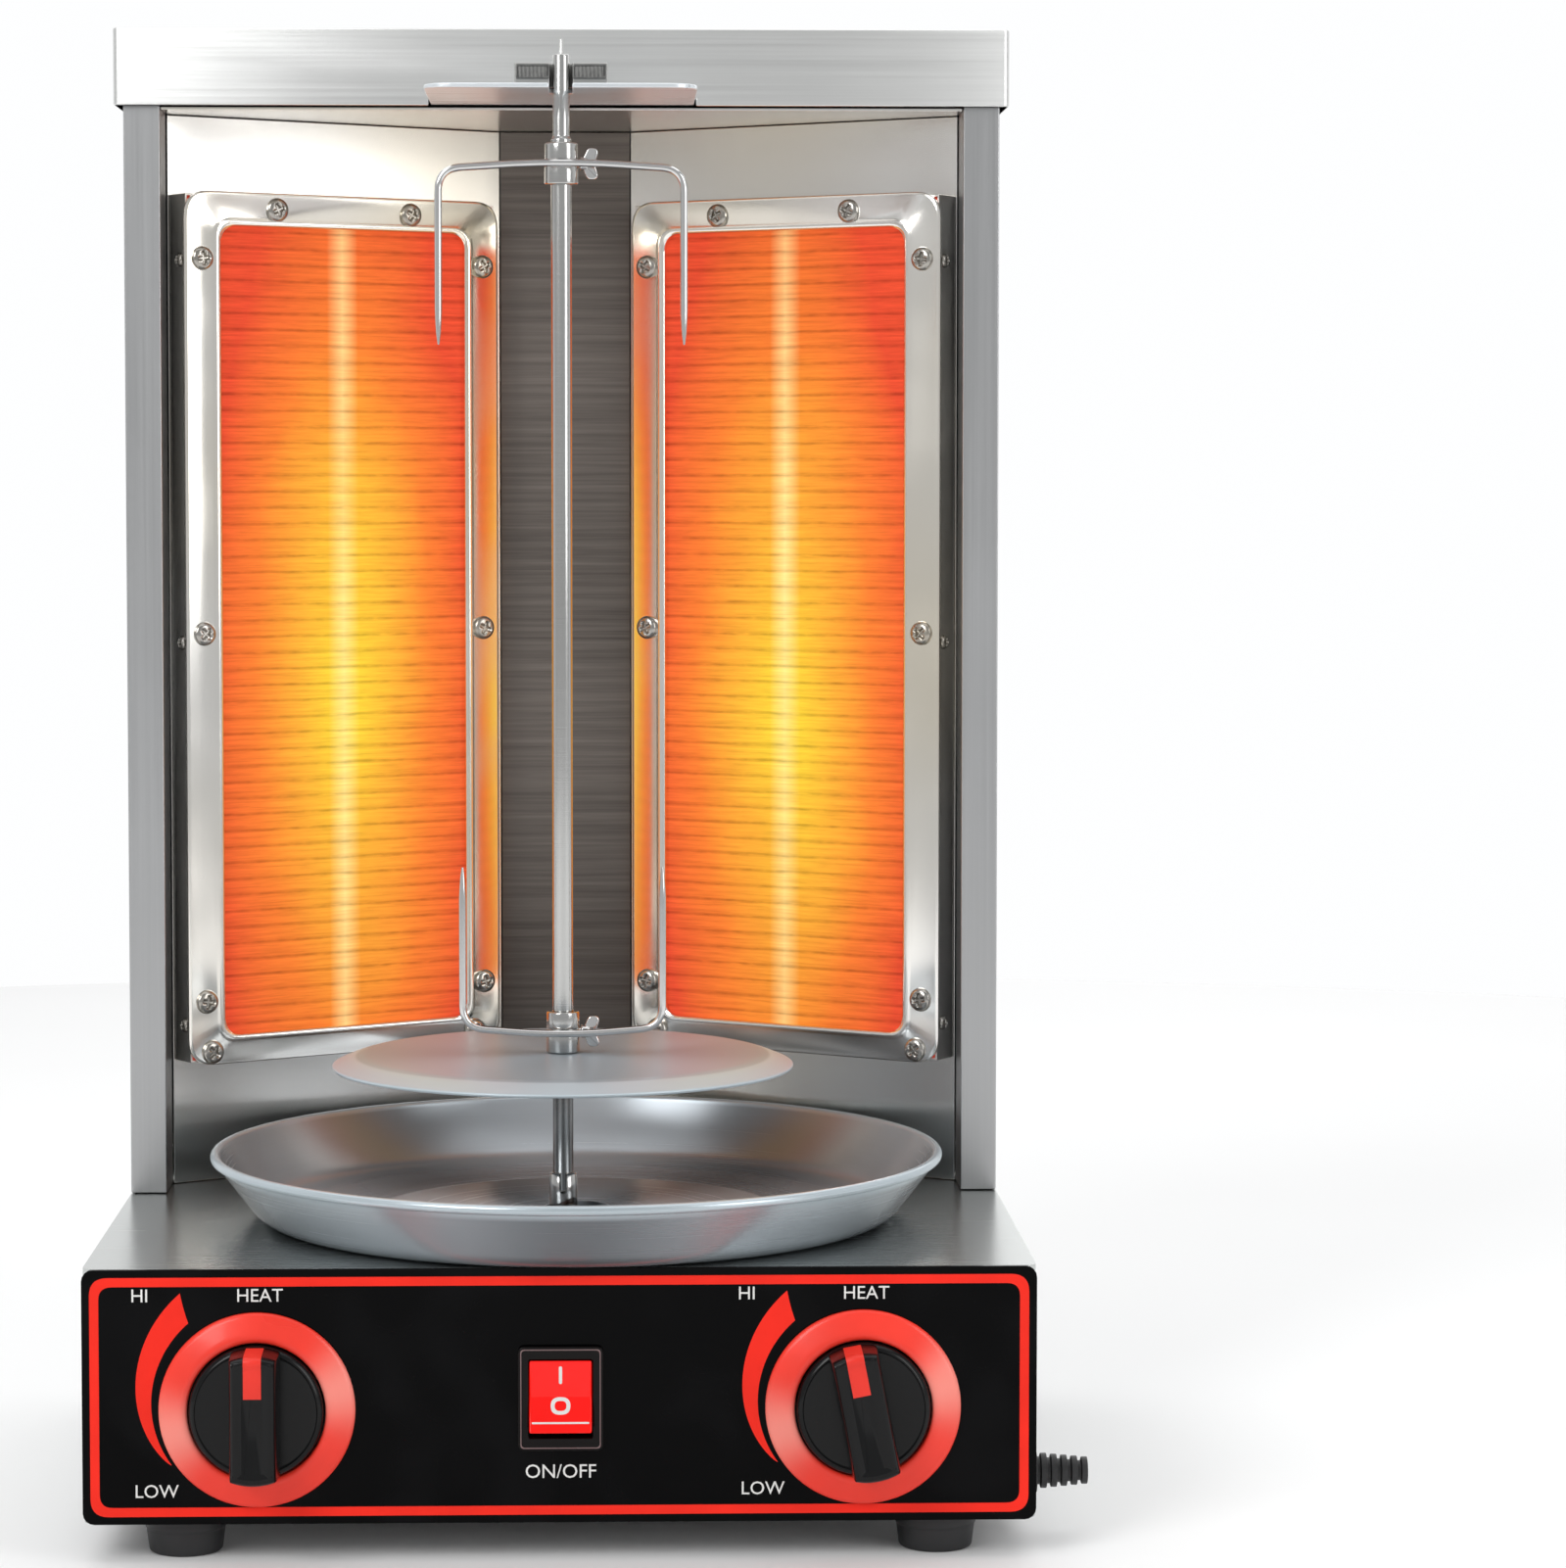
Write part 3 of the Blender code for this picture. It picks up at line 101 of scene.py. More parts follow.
class HeaterSpace:
    """The frame of one angled heater: u runs from the post to the column, v out of the heater, w up."""

    def __init__(self, side, outward):
        mesh = frame["nodes"][f"heater_frame_{side}"].data
        normals, areas = np.empty(len(mesh.polygons) * 3), np.empty(len(mesh.polygons))
        mesh.polygons.foreach_get("normal", normals)
        mesh.polygons.foreach_get("area", areas)
        out = normals.reshape(-1, 3)[areas.argmax()]
        out = out * -np.sign(out[1])
        self.axes = np.stack([[-outward * abs(out[1]), abs(out[0]), 0], out, [0, 0, 1]])

    def to_local(self, points):
        return points @ self.axes.T

    def to_world(self, points):
        return np.asarray(points) @ self.axes

    def box(self, node):
        local = self.to_local(node_points(node))
        return local.min(0), local.max(0)


DISC_RIM, PAN_RIM = (measured(node)[3][0] / 2 for node in ("meat_disc", "drip_pan"))
DISC_FLAT = DISC_RIM - 0.0083  # radius where the disc starts to slope down
PAN_WALL = PAN_RIM - 0.0036  # radius where the pan's wall nears its rolled rim
GROOVES = round(measured("heater_plate_left")[3][2] / GROOVE_PITCH)


# ---- shapes as arrays
def grid(points, wrap_rows=False, wrap_columns=False, caps=False):
    """A grid of points (rows, columns, 3) as (vertices, faces): one quad between each four neighbours."""
    rows, columns = points.shape[:2]
    index = np.arange(rows * columns).reshape(rows, columns)
    ends = [index[0, ::-1].tolist(), index[-1].tolist()] if caps else []
    if wrap_rows:
        index = np.vstack([index, index[:1]])
    if wrap_columns:
        index = np.hstack([index, index[:, :1]])
    quads = np.stack([index[:-1, :-1], index[:-1, 1:], index[1:, 1:], index[1:, :-1]], axis=-1)
    return points.reshape(-1, 3), quads.reshape(-1, 4).tolist() + ends


def closed_relief(top, ground):
    """A relief grid closed by an outer ring at the ground level and one face below."""
    level = np.pad(top, ((1, 1), (1, 1), (0, 0)), mode="edge")
    level[[0, -1], :, 2] = ground
    level[:, [0, -1], 2] = ground
    points, faces = grid(level)
    index = np.arange(len(points)).reshape(level.shape[:2])
    edge = np.concatenate([index[0], index[1:, -1], index[-1, -2::-1], index[-2:0:-1, 0]])
    return points, faces + [edge[::-1].tolist()]


def joined(*shapes):
    """Several shapes as one."""
    vertices, faces, start = [], [], 0
    for points, own in shapes:
        vertices.append(points)
        faces += [[corner + start for corner in face] for face in own]
        start += len(points)
    return np.concatenate(vertices), faces


def moved(shape, by=(0, 0, 0), turn=None):
    """The shape turned by a matrix about the origin, then moved."""
    points, faces = shape
    if turn is not None:
        points = points @ np.array(turn).T
    return points + np.asarray(by), faces


def about(axis, degrees):
    return Matrix.Rotation(math.radians(degrees), 3, axis)


def rounded(points, radius=None, steps=4, closed=False):
    """A polyline with rounded corners. Each corner becomes the curve (1-t)^2 A + 2t(1-t) C + t^2 B, where A and
    B lie `radius` from the corner C along its two sides, or halfway along a side that is shorter. Where no
    radius is given, each point carries its own as a third number."""
    corners = np.asarray(points, float)
    if radius is None:
        corners, radius = corners[:, :2], corners[:, 2]
    before, after = np.roll(corners, 1, 0) - corners, np.roll(corners, -1, 0) - corners
    radius = np.broadcast_to(np.asarray(radius, float), len(corners))[:, None]
    starts, ends = (
        corners + way * np.minimum(radius / np.maximum(np.linalg.norm(way, axis=1)[:, None], 1e-9), 0.5)
        for way in (before, after)
    )
    t = np.linspace(0, 1, steps + 1)[None, :, None]
    curve = (1 - t) ** 2 * starts[:, None] + 2 * t * (1 - t) * corners[:, None] + t**2 * ends[:, None]
    if closed:
        return curve.reshape(-1, corners.shape[1])
    return np.concatenate([corners[:1], curve[1:-1].reshape(-1, corners.shape[1]), corners[-1:]])


def rounded_rectangle(width, height, radius, steps=7):
    x, y = width / 2, height / 2
    return rounded([(x, -y), (x, y), (-x, y), (-x, -y)], radius, steps, closed=True)


def lathe(profile, steps=96, closed=False):
    """A profile of (radius, height) turned about Z: the point (r cos a, r sin a, h)."""
    radius, height = np.asarray(profile, float).T[:, :, None]
    angle = np.linspace(0, math.tau, steps, endpoint=False)
    points = np.stack([radius * np.cos(angle), radius * np.sin(angle), height + 0 * angle], axis=-1)
    return grid(points, wrap_rows=closed, wrap_columns=True)


def across(way):
    """The unit normals to the right of a flat path's directions."""
    normal = np.stack([-way[:, 1], way[:, 0]], axis=1)
    return normal / np.linalg.norm(normal, axis=1)[:, None]


def tube(path, radius, sides=14):
    """A round section carried along a path in an upright plane: path + r (cos a side + sin a Y), where the side
    lies across the path's direction."""
    side = np.cross(np.gradient(path, axis=0), (0, 1, 0))
    side /= np.linalg.norm(side, axis=1)[:, None]
    angle = np.linspace(0, math.tau, sides, endpoint=False)[None, :, None]
    ring = np.cos(angle) * side[:, None] + np.sin(angle) * np.array([0, 1, 0])
    return grid(path[:, None] + radius[:, None, None] * ring, wrap_columns=True, caps=True)


def inset(outline, depth):
    """An outline moved inwards: each point goes by `depth` along the normal of its two neighbours."""
    return outline + across(np.roll(outline, -1, 0) - np.roll(outline, 1, 0)) * depth


def stacked(outline, levels):
    """An outline repeated at each (inset, height), one above the other, and closed at both ends."""
    rows = [np.column_stack([inset(outline, depth), np.full(len(outline), z)]) for depth, z in levels]
    return grid(np.array(rows), wrap_columns=True, caps=True)


def slab(outline, low, high, edge=0.0004, steps=3):
    """An anticlockwise outline pushed from low to high, its edges rounded: at the angle a of the rounding the
    outline is inset by edge (1 - sin a) and the level is edge (1 - cos a) from the face."""
    angle = np.linspace(0, math.pi / 2, steps + 1)
    depths, rises = edge * (1 - np.sin(angle)), edge * (1 - np.cos(angle))
    return stacked(outline, [*zip(depths, low + rises), *zip(depths[::-1], high - rises[::-1])])


def band(outer, inner, section):
    """A closed ring between two outlines of the same number of points. The section's points are (t, height):
    t blends from the outer outline to the inner one."""
    t, height = np.asarray(section, float).T[:, :, None, None]
    flat = outer[None] * (1 - t) + inner[None] * t
    level = np.broadcast_to(height, flat.shape[:2] + (1,))
    return grid(np.concatenate([flat, level], axis=-1), wrap_rows=True, wrap_columns=True)


def border(width, height, radius, line, inner_radius, section=PRINT_SECTION):
    """A flat line of this width along the inside of a rounded rectangle."""
    inner = rounded_rectangle(width - 2 * line, height - 2 * line, inner_radius)
    return band(rounded_rectangle(width, height, radius), inner, section)


def lettering(words, height):
    """Plain capitals of this height as a thin raised print, centred on the origin and drawn flat."""
    data = bpy.data.curves.new("lettering", "FONT")
    data.body = words
    data.size = height / 0.7  # capitals stand 0.7 of the size
    data.extrude = PRINT / 2
    data.resolution_u = 3
    data.align_x, data.align_y = "CENTER", "CENTER"
    holder = placed("lettering", data)
    mesh = bpy.data.meshes.new_from_object(holder.evaluated_get(bpy.context.evaluated_depsgraph_get()))
    faces = [list(polygon.vertices) for polygon in mesh.polygons]
    bpy.data.objects.remove(holder, do_unlink=True)
    return mesh_points(mesh) + (0, 0, PRINT / 2), faces


def pan_head(radius, height):
    """A domed screw head with a cross recess, on the XY plane. Its height is h (1 - (r/R)^4)^(1/2), less the
    recess depth where the point lies inside either arm of the cross."""
    rows = np.concatenate([np.linspace(0, 0.62, 9), np.linspace(0.7, 1, 6)])[:, None] * radius
    angle = np.linspace(0, math.tau, 32, endpoint=False)
    x, y = rows * np.cos(angle), rows * np.sin(angle)
    level = height * np.sqrt(np.clip(1 - (rows / radius) ** 4, 0, 1)) + 0 * angle
    aside, along = np.minimum(abs(x), abs(y)), np.maximum(abs(x), abs(y))
    arm = np.clip((0.17 * radius - aside) / (0.07 * radius), 0, 1)
    reach = np.clip((0.6 * radius - along) / (0.15 * radius), 0, 1)
    top = np.stack([x, y, level - 0.62 * height * arm * reach], axis=-1)
    foot = np.stack([x[-1:], y[-1:], 0 * x[-1:] - SEAT], axis=-1)
    return grid(np.concatenate([top, foot]), wrap_columns=True)


# ---- making pieces
def placed(name, data):
    """A new object for this data, at the origin."""
    made = bpy.data.objects.new(name, data)
    bpy.context.scene.collection.objects.link(made)
    return made


def shaded_smooth(mesh, sharp=38):
    mesh.shade_smooth()
    mesh.set_sharp_from_angle(angle=math.radians(sharp))


def settled(made, finish, body, replaces):
    made.data.materials.clear()
    made.data.materials.append(FINISHES[finish])
    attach(made, body)
    if replaces:
        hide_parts(*replaces)
    return made


def piece(name, shape, finish, body, slot, replaces=(), sharp=38, uv=None):
    """Makes an object of a shape, with doubled points merged and faces turned outwards, riding on a body."""
    points, faces = shape
    mesh = bpy.data.meshes.new(name)
    mesh.from_pydata(np.asarray(points).tolist(), [], faces)
    shaped = bmesh.new()
    shaped.from_mesh(mesh)
    bmesh.ops.remove_doubles(shaped, verts=shaped.verts, dist=2e-7)
    bmesh.ops.dissolve_degenerate(shaped, dist=1e-7, edges=shaped.edges)
    bmesh.ops.recalc_face_normals(shaped, faces=shaped.faces)
    shaped.to_mesh(mesh)
    shaped.free()
    shaded_smooth(mesh, sharp)
    if uv is not None:
        add_uv(mesh, uv)
    return settled(placed(name, mesh), finish, body, replaces)


def add_uv(mesh, place):
    """Gives the mesh a UV map: place turns an array of points into an array of (u, v)."""
    corner = np.empty(len(mesh.loops), int)
    mesh.loops.foreach_get("vertex_index", corner)
    layer = mesh.uv_layers.new(name="UVMap")
    layer.data.foreach_set("uv", place(mesh_points(mesh))[corner].ravel())


def for_node(node, shape, finish, **extra):
    """A piece that stands for one CAD node, on its body."""
    return piece(f"{node}_shape", shape, finish, BODY_OF[node], SLOT_OF[node], (node,), **extra)


def turned_ring(node, corners, steps, around, place, finish, turn=None):
    """A node's piece as a closed profile turned about an axis; each corner is (radius, height, rounding)."""
    shape = lathe(rounded(corners, steps=steps, closed=True), around, closed=True)
    for_node(node, moved(shape, place, turn), finish)


def rounded_sheet(node, finish, width=0.00035, segments=2):
    """The node's own sheet with every edge rounded by `width`: its loose triangles are merged, flat ones are
    joined into whole faces, and a bevel rounds each edge sharper than 50 degrees."""
    shaped = bmesh.new()
    shaped.from_mesh(frame["nodes"][node].data)
    bmesh.ops.remove_doubles(shaped, verts=shaped.verts, dist=2e-6)
    bmesh.ops.dissolve_limit(shaped, angle_limit=math.radians(0.4), verts=shaped.verts, edges=shaped.edges)
    mesh = bpy.data.meshes.new(f"{node}_sheet")
    shaped.to_mesh(mesh)
    shaped.free()
    shaded_smooth(mesh)
    made = placed(f"{node}_sheet", mesh)
    bevel = made.modifiers.new("rounded_edges", "BEVEL")
    bevel.width = width
    bevel.segments = segments
    bevel.limit_method = "ANGLE"
    bevel.angle_limit = math.radians(50)
    bevel.harden_normals = True
    return settled(made, finish, BODY_OF[node], (node,))


# ---- shader tools
class Wire:
    """What comes out of a shader node. A sum with a wire adds a Math node to the wire's own tree."""

    def __init__(self, socket):
        self.socket = socket
        self.tree = socket.id_data

    def maths(self, operation, *values, **settings):
        return wire(self.tree, "Math", self, *values, operation=operation, **settings)

    def __add__(self, other):
        return self.maths("ADD", other)

    def __sub__(self, other):
        return self.maths("SUBTRACT", other)

    def __rsub__(self, other):
        return self * -1.0 + other

    def __mul__(self, other):
        return self.maths("MULTIPLY", other)

    def __truediv__(self, other):
        return self.maths("DIVIDE", other)

    def limited(self):
        """Kept between 0 and 1."""
        return self.maths("ADD", 0.0, use_clamp=True)

    def eased(self, start, end, first, last):
        """Goes smoothly from `first`, where the wire is at `start`, to `last` at `end`."""
        return wire(self.tree, "MapRange", self, start, end, first, last, interpolation_type="SMOOTHSTEP")

    def times(self, factor):
        """A colour made brighter or darker."""
        return wire(self.tree, "VectorMath", self, operation="SCALE", Scale=factor)


def feed(socket, value):
    """Links a wire to a socket, or sets the socket's own value."""
    if isinstance(value, Wire):
        socket.id_data.links.new(value.socket, socket)
    else:
        socket.default_value = value


def feed_all(sockets, **values):
    for name, value in values.items():
        feed(sockets[name.replace("_", " ")], value)


def wires(tree, kind, *values, **settings):
    """Adds a node and returns its outputs. Values feed its inputs in order; a capitalised setting feeds the
    input of that name, and any other setting is an attribute."""
    made = tree.nodes.new(f"ShaderNode{kind}")
    for key, value in settings.items():
        if key[0].islower():
            setattr(made, key, value)
    for socket, value in zip(made.inputs, values):
        feed(socket, value)
    feed_all(made.inputs, **{key: value for key, value in settings.items() if key[0].isupper()})
    return [Wire(socket) for socket in made.outputs]


def wire(tree, kind, *values, **settings):
    """The first output of such a node."""
    return wires(tree, kind, *values, **settings)[0]


def mixed(tree, factor, first, second):
    """A blend from the first colour to the second."""
    made = tree.nodes.new("ShaderNodeMix")
    made.data_type = "RGBA"
    for number, value in ((0, factor), (6, first), (7, second)):
        feed(made.inputs[number], value)
    return Wire(made.outputs[2])


def ramp(factor, *stops):
    """A colour ramp through (place, colour) stops."""
    made = factor.tree.nodes.new("ShaderNodeValToRGB")
    feed(made.inputs[0], factor)
    elements = made.color_ramp.elements
    while len(elements) < len(stops):
        elements.new(1)
    for element, (place, colour) in zip(elements, stops):
        element.position = place
        element.color = (*colour, 1)
    return Wire(made.outputs[0])


def shader_group(name, inputs, outputs):
    """An empty group; returns its tree, the wires that come in and the sockets that go out. An input's default
    tells its kind: none for a vector, four numbers for a colour, one for a plain value."""
    tree = bpy.data.node_groups.new(name, "ShaderNodeTree")
    for label, default in inputs.items():
        kind = "Vector" if default is None else "Color" if isinstance(default, tuple) else "Float"
        socket = tree.interface.new_socket(label, in_out="INPUT", socket_type=f"NodeSocket{kind}")
        if default is not None:
            socket.default_value = default
    for label in outputs:
        kind = "Color" if label in ("Color", "Base") else "Float"
        tree.interface.new_socket(label, in_out="OUTPUT", socket_type=f"NodeSocket{kind}")
    given = {socket.name: Wire(socket) for socket in tree.nodes.new("NodeGroupInput").outputs}
    return tree, given, tree.nodes.new("NodeGroupOutput").inputs


SURFACE = ("Color", "Roughness", "Height")


def steel_grain_group():
    """Fine streaks plus a broad cloudy tone: both shade the colour and the roughness."""
    grey = (0.5, 0.5, 0.5, 1)
    inputs = dict(Streaks=None, Place=None, Colour=grey, Contrast=0.15, Roughness=0.3, Spread=0.1)
    tree, given, result = shader_group("steel_grain", inputs, SURFACE)
    fine = wire(tree, "TexNoise", given["Streaks"], Scale=1.0, Detail=4.0, Roughness=0.65)
    broad = wire(tree, "TexNoise", given["Place"], Scale=9.0, Detail=3.0, Roughness=0.5)
    tone = (fine - 0.5) + (broad - 0.5) * 0.7
    rough = (tone * given["Spread"] + given["Roughness"]).limited()
    feed_all(result, Color=given["Colour"].times(tone * given["Contrast"] + 1.0), Roughness=rough, Height=fine)
    return tree


def smudge_group():
    """Soft patches of handling marks, as a mask from 0 to 1."""
    tree, given, result = shader_group("smudges", dict(Place=None, Scale=30.0), ("Mask",))
    wide = wire(tree, "TexNoise", given["Place"], Scale=given["Scale"], Detail=1.0)
    feed_all(result, Mask=wide.eased(0.42, 0.72, 0.0, 1.0))
    return tree


def moulded_group():
    """The fine grain and slight tone changes of moulded plastic or rubber."""
    inputs = dict(Place=None, Colour=(0.02, 0.02, 0.02, 1), Roughness=0.4, Grain=1500.0)
    tree, given, result = shader_group("moulded_grain", inputs, SURFACE)
    broad = wire(tree, "TexNoise", given["Place"], Scale=45.0, Detail=3.0)
    grain = wire(tree, "TexNoise", given["Place"], Scale=given["Grain"], Detail=2.0)
    rough = given["Roughness"] + (broad * 0.16 - 0.08)
    feed_all(result, Color=given["Colour"].times(broad * 0.35 + 0.82), Roughness=rough, Height=grain)
    return tree


def heat_tint_group():
    """Straw to brown tint that hot steel takes, in soft clouds, stronger where Heat is high."""
    inputs = dict(Place=None, Colour=(0.7, 0.7, 0.7, 1), Heat=0.5)
    tree, given, result = shader_group("heat_tint", inputs, ("Color",))
    cloud = wire(tree, "TexNoise", given["Place"], Scale=10.0, Detail=0.0)
    amount = (cloud.eased(0.25, 0.85, 0.0, 0.5) * given["Heat"]).limited()
    warm = ramp(amount, (0.0, (1, 1, 1)), (0.35, (0.98, 0.86, 0.62)), (0.8, (0.72, 0.46, 0.30)))
    feed_all(result, Color=wire(tree, "VectorMath", given["Colour"], warm, operation="MULTIPLY"))
    return tree


def glow_group():
    """The heater face's light. The distance from its hot core, sqrt(((u-.5)/.46)^2 + ((v-.42)/.66)^2) and a
    little cloud, runs from yellow through orange to red. A pale upright stripe lies on the core, each groove is
    darker, and thin uneven lines run along the courses."""
    tree, given, result = shader_group("glow", dict(Face=None, Place=None), ("Color", "Base"))
    u, v, _ = wires(tree, "SeparateXYZ", given["Face"])
    cloud = wire(tree, "TexNoise", given["Place"], Scale=22.0, Detail=3.0)
    aside, up = (u - 0.5) / 0.46, (v - 0.42) / 0.66
    distance = (aside.maths("POWER", 2.0) + up.maths("POWER", 2.0)).maths("SQRT") + (cloud * 0.3 - 0.15)
    colour = ramp(
        distance, (0.08, (0.86, 0.58, 0.040)), (0.36, (0.85, 0.38, 0.036)), (0.66, (0.82, 0.19, 0.030)),
        (1.00, (0.70, 0.070, 0.028)),
    )
    near_core = (1.0 - aside.maths("ABSOLUTE") * 9.0).limited()
    colour = mixed(tree, near_core * (cloud * 0.6 + 0.25), colour, (1.0, 0.80, 0.34, 1))
    row = (v * float(GROOVES)).maths("FRACT")
    groove = (1.0 - row.maths("PINGPONG", 0.5) * 6.0).limited()
    streaky = wire(tree, "Mapping", given["Face"], Scale=(5.0, 260.0, 1.0))
    fired = wire(tree, "TexNoise", streaky, Scale=1.0, Detail=3.0, Roughness=0.7)
    patches = wire(tree, "TexNoise", wire(tree, "Mapping", given["Face"], Scale=(4.0, 30.0, 1.0)))
    lines = (fired - 0.5) * 1.25 + 1.0
    dark = groove * (patches * -0.95 + 0.08)
    feed_all(result, Color=colour.times(lines * (dark + 1.0)), Base=colour.times(0.4))
    return tree


GROUPS = {
    "steel": steel_grain_group(),
    "smudges": smudge_group(),
    "moulded": moulded_group(),
    "heat": heat_tint_group(),
    "glow": glow_group(),
}


# ---- finishes
class Finish:
    """A material under way, with its shader's sockets and the place on the object."""

    def __init__(self, name, metallic=0.0, **constants):
        self.material = bpy.data.materials.new(name)
        self.material.use_nodes = True
        self.tree = self.material.node_tree
        self.coordinates = wires(self.tree, "TexCoord")
        self.place = self.coordinates[OBJECT]
        self.fed(Metallic=metallic, **constants)

    def fed(self, **values):
        """Feeds the shader's sockets by name and returns the material."""
        feed_all(self.tree.nodes["Principled BSDF"].inputs, **values)
        return self.material

    def group(self, name, **values):
        return wires(self.tree, "Group", node_tree=GROUPS[name], Place=self.place, **values)

    def surfaced(self, tone, rough, height, bump, distance):
        normal = wire(self.tree, "Bump", Strength=bump, Distance=distance, Height=height)
        return self.fed(Base_Color=tone, Roughness=rough, Normal=normal)


def brushed_steel(name, colour, scale, roughness, contrast=0.22, metallic=1.0):
    """Sheet steel brushed along the axis whose scale is small."""
    look = Finish(name, metallic)
    grain = look.group(
        "steel", Streaks=wire(look.tree, "Mapping", look.place, Scale=scale), Colour=(*colour, 1),
        Contrast=contrast, Roughness=roughness, Spread=0.16,
    )
    return look.surfaced(*grain, 0.10, 0.0002)


def turned_steel(
    name, colour, centre, roughness, rings, contrast=0.3, satin=1.0, edge=None, fans=None, **constants
):
    """Spun or turned steel: its streaks are rings about an upright axis through `centre`. `satin` is how
    metallic its face looks, and beyond the radius `edge` it is painted lighter, a painted highlight.
    `fans` (how many, how strong) is painted highlight and shade around its axis:
    1 - strength * cos(count * (angle + 90 degrees))."""
    look = Finish(name, satin, **constants)
    tree = look.tree
    local = wire(tree, "Mapping", look.place, Location=(-centre[0], -centre[1], 0))
    x, y, z = wires(tree, "SeparateXYZ", local)
    radius = wires(tree, "VectorMath", wire(tree, "CombineXYZ", x, y, 0.0), operation="LENGTH")[1]
    tone, rough, height = look.group(
        "steel", Streaks=wire(tree, "CombineXYZ", radius * rings, 0.0, z * rings), Colour=(*colour, 1),
        Contrast=contrast, Roughness=roughness, Spread=0.10,
    )
    # Painted highlight and shade: the tone goes lighter and darker with the angle about the axis.
    if fans:
        count, strength = fans
        turn = (y.maths("ARCTAN2", x) + math.pi / 2) * float(count)
        tone = tone.times(turn.maths("COSINE") * -strength + 1.0)
    # Painted highlight: beyond the radius `edge` the tone is blended towards a lighter colour.
    if edge:
        painted_rim_highlight = wire(tree, "MapRange", radius, edge, edge + 0.0012, 0.0, 0.8)
        tone = mixed(tree, painted_rim_highlight, tone, (0.50, 0.57, 0.61, 1))
    return look.surfaced(tone, rough, height, 0.05, 0.0002)


def polished_steel(name, colour, roughness, heat, marks=0.09):
    """Bright sheet with a heat tint, and handling marks that add `marks` to its roughness."""
    look = Finish(name, 1.0)
    smudge, = look.group("smudges", Scale=24.0)
    tint, = look.group("heat", Colour=(*colour, 1), Heat=heat)
    return look.fed(Base_Color=tint, Roughness=smudge * marks + roughness)


def moulded(name, colour, roughness, grain=1500.0, bump=0.06, **constants):
    look = Finish(name, **constants)
    surface = look.group("moulded", Colour=(*colour, 1), Roughness=roughness, Grain=grain)
    return look.surfaced(*surface, bump, 0.0001)


def glossy_panel():
    look = Finish("glossy_panel", Specular_IOR_Level=0.06)
    smudge, = look.group("smudges", Scale=38.0)
    tone = mixed(look.tree, smudge, (0.0010, 0.0010, 0.0012, 1), (0.0030, 0.0030, 0.0034, 1))
    return look.fed(Base_Color=tone, Roughness=smudge * 0.14 + 0.10)


def glowing_face():
    look = Finish("glowing_face", Emission_Strength=0.84, Specular_IOR_Level=0.1, Roughness=0.85)
    light, base = look.group("glow", Face=look.coordinates[UV])
    return look.fed(Emission_Color=light, Base_Color=base)


def ring_plastic(name, colour, painted_sheen):
    """Glossy plastic with two soft painted highlights at opposite sides of each ring, where its colour is
    blended towards a lighter one. The angle a about the nearer knob's centre gives the painted highlight cos(2
    a - 30 degrees)^3."""
    left, right = middle("knob_ring_left"), middle("knob_ring_right")
    look = Finish(name, Coat_Weight=0.2, Coat_Roughness=0.12, Specular_IOR_Level=0.25)
    x, _, z = wires(look.tree, "SeparateXYZ", look.place)
    is_right = x.maths("GREATER_THAN", (left[0] + right[0]) / 2)
    centre_x = is_right * (right[0] - left[0]) + left[0]
    angle = (z - left[2]).maths("ARCTAN2", x - centre_x)
    # Painted highlight: the colour is lightened in a soft patch at two opposite sides of each ring.
    wave = (angle * 2.0 + math.radians(-30)).maths("COSINE")
    painted_highlight = wave.maths("MAXIMUM", 0.0).maths("POWER", 3.0)
    tone, rough, height = look.group("moulded", Colour=(*colour, 1), Roughness=0.3, Grain=1300.0)
    return look.surfaced(mixed(look.tree, painted_highlight * 0.7, tone, (*painted_sheen, 1)), rough, height, 0.04, 0.0001)


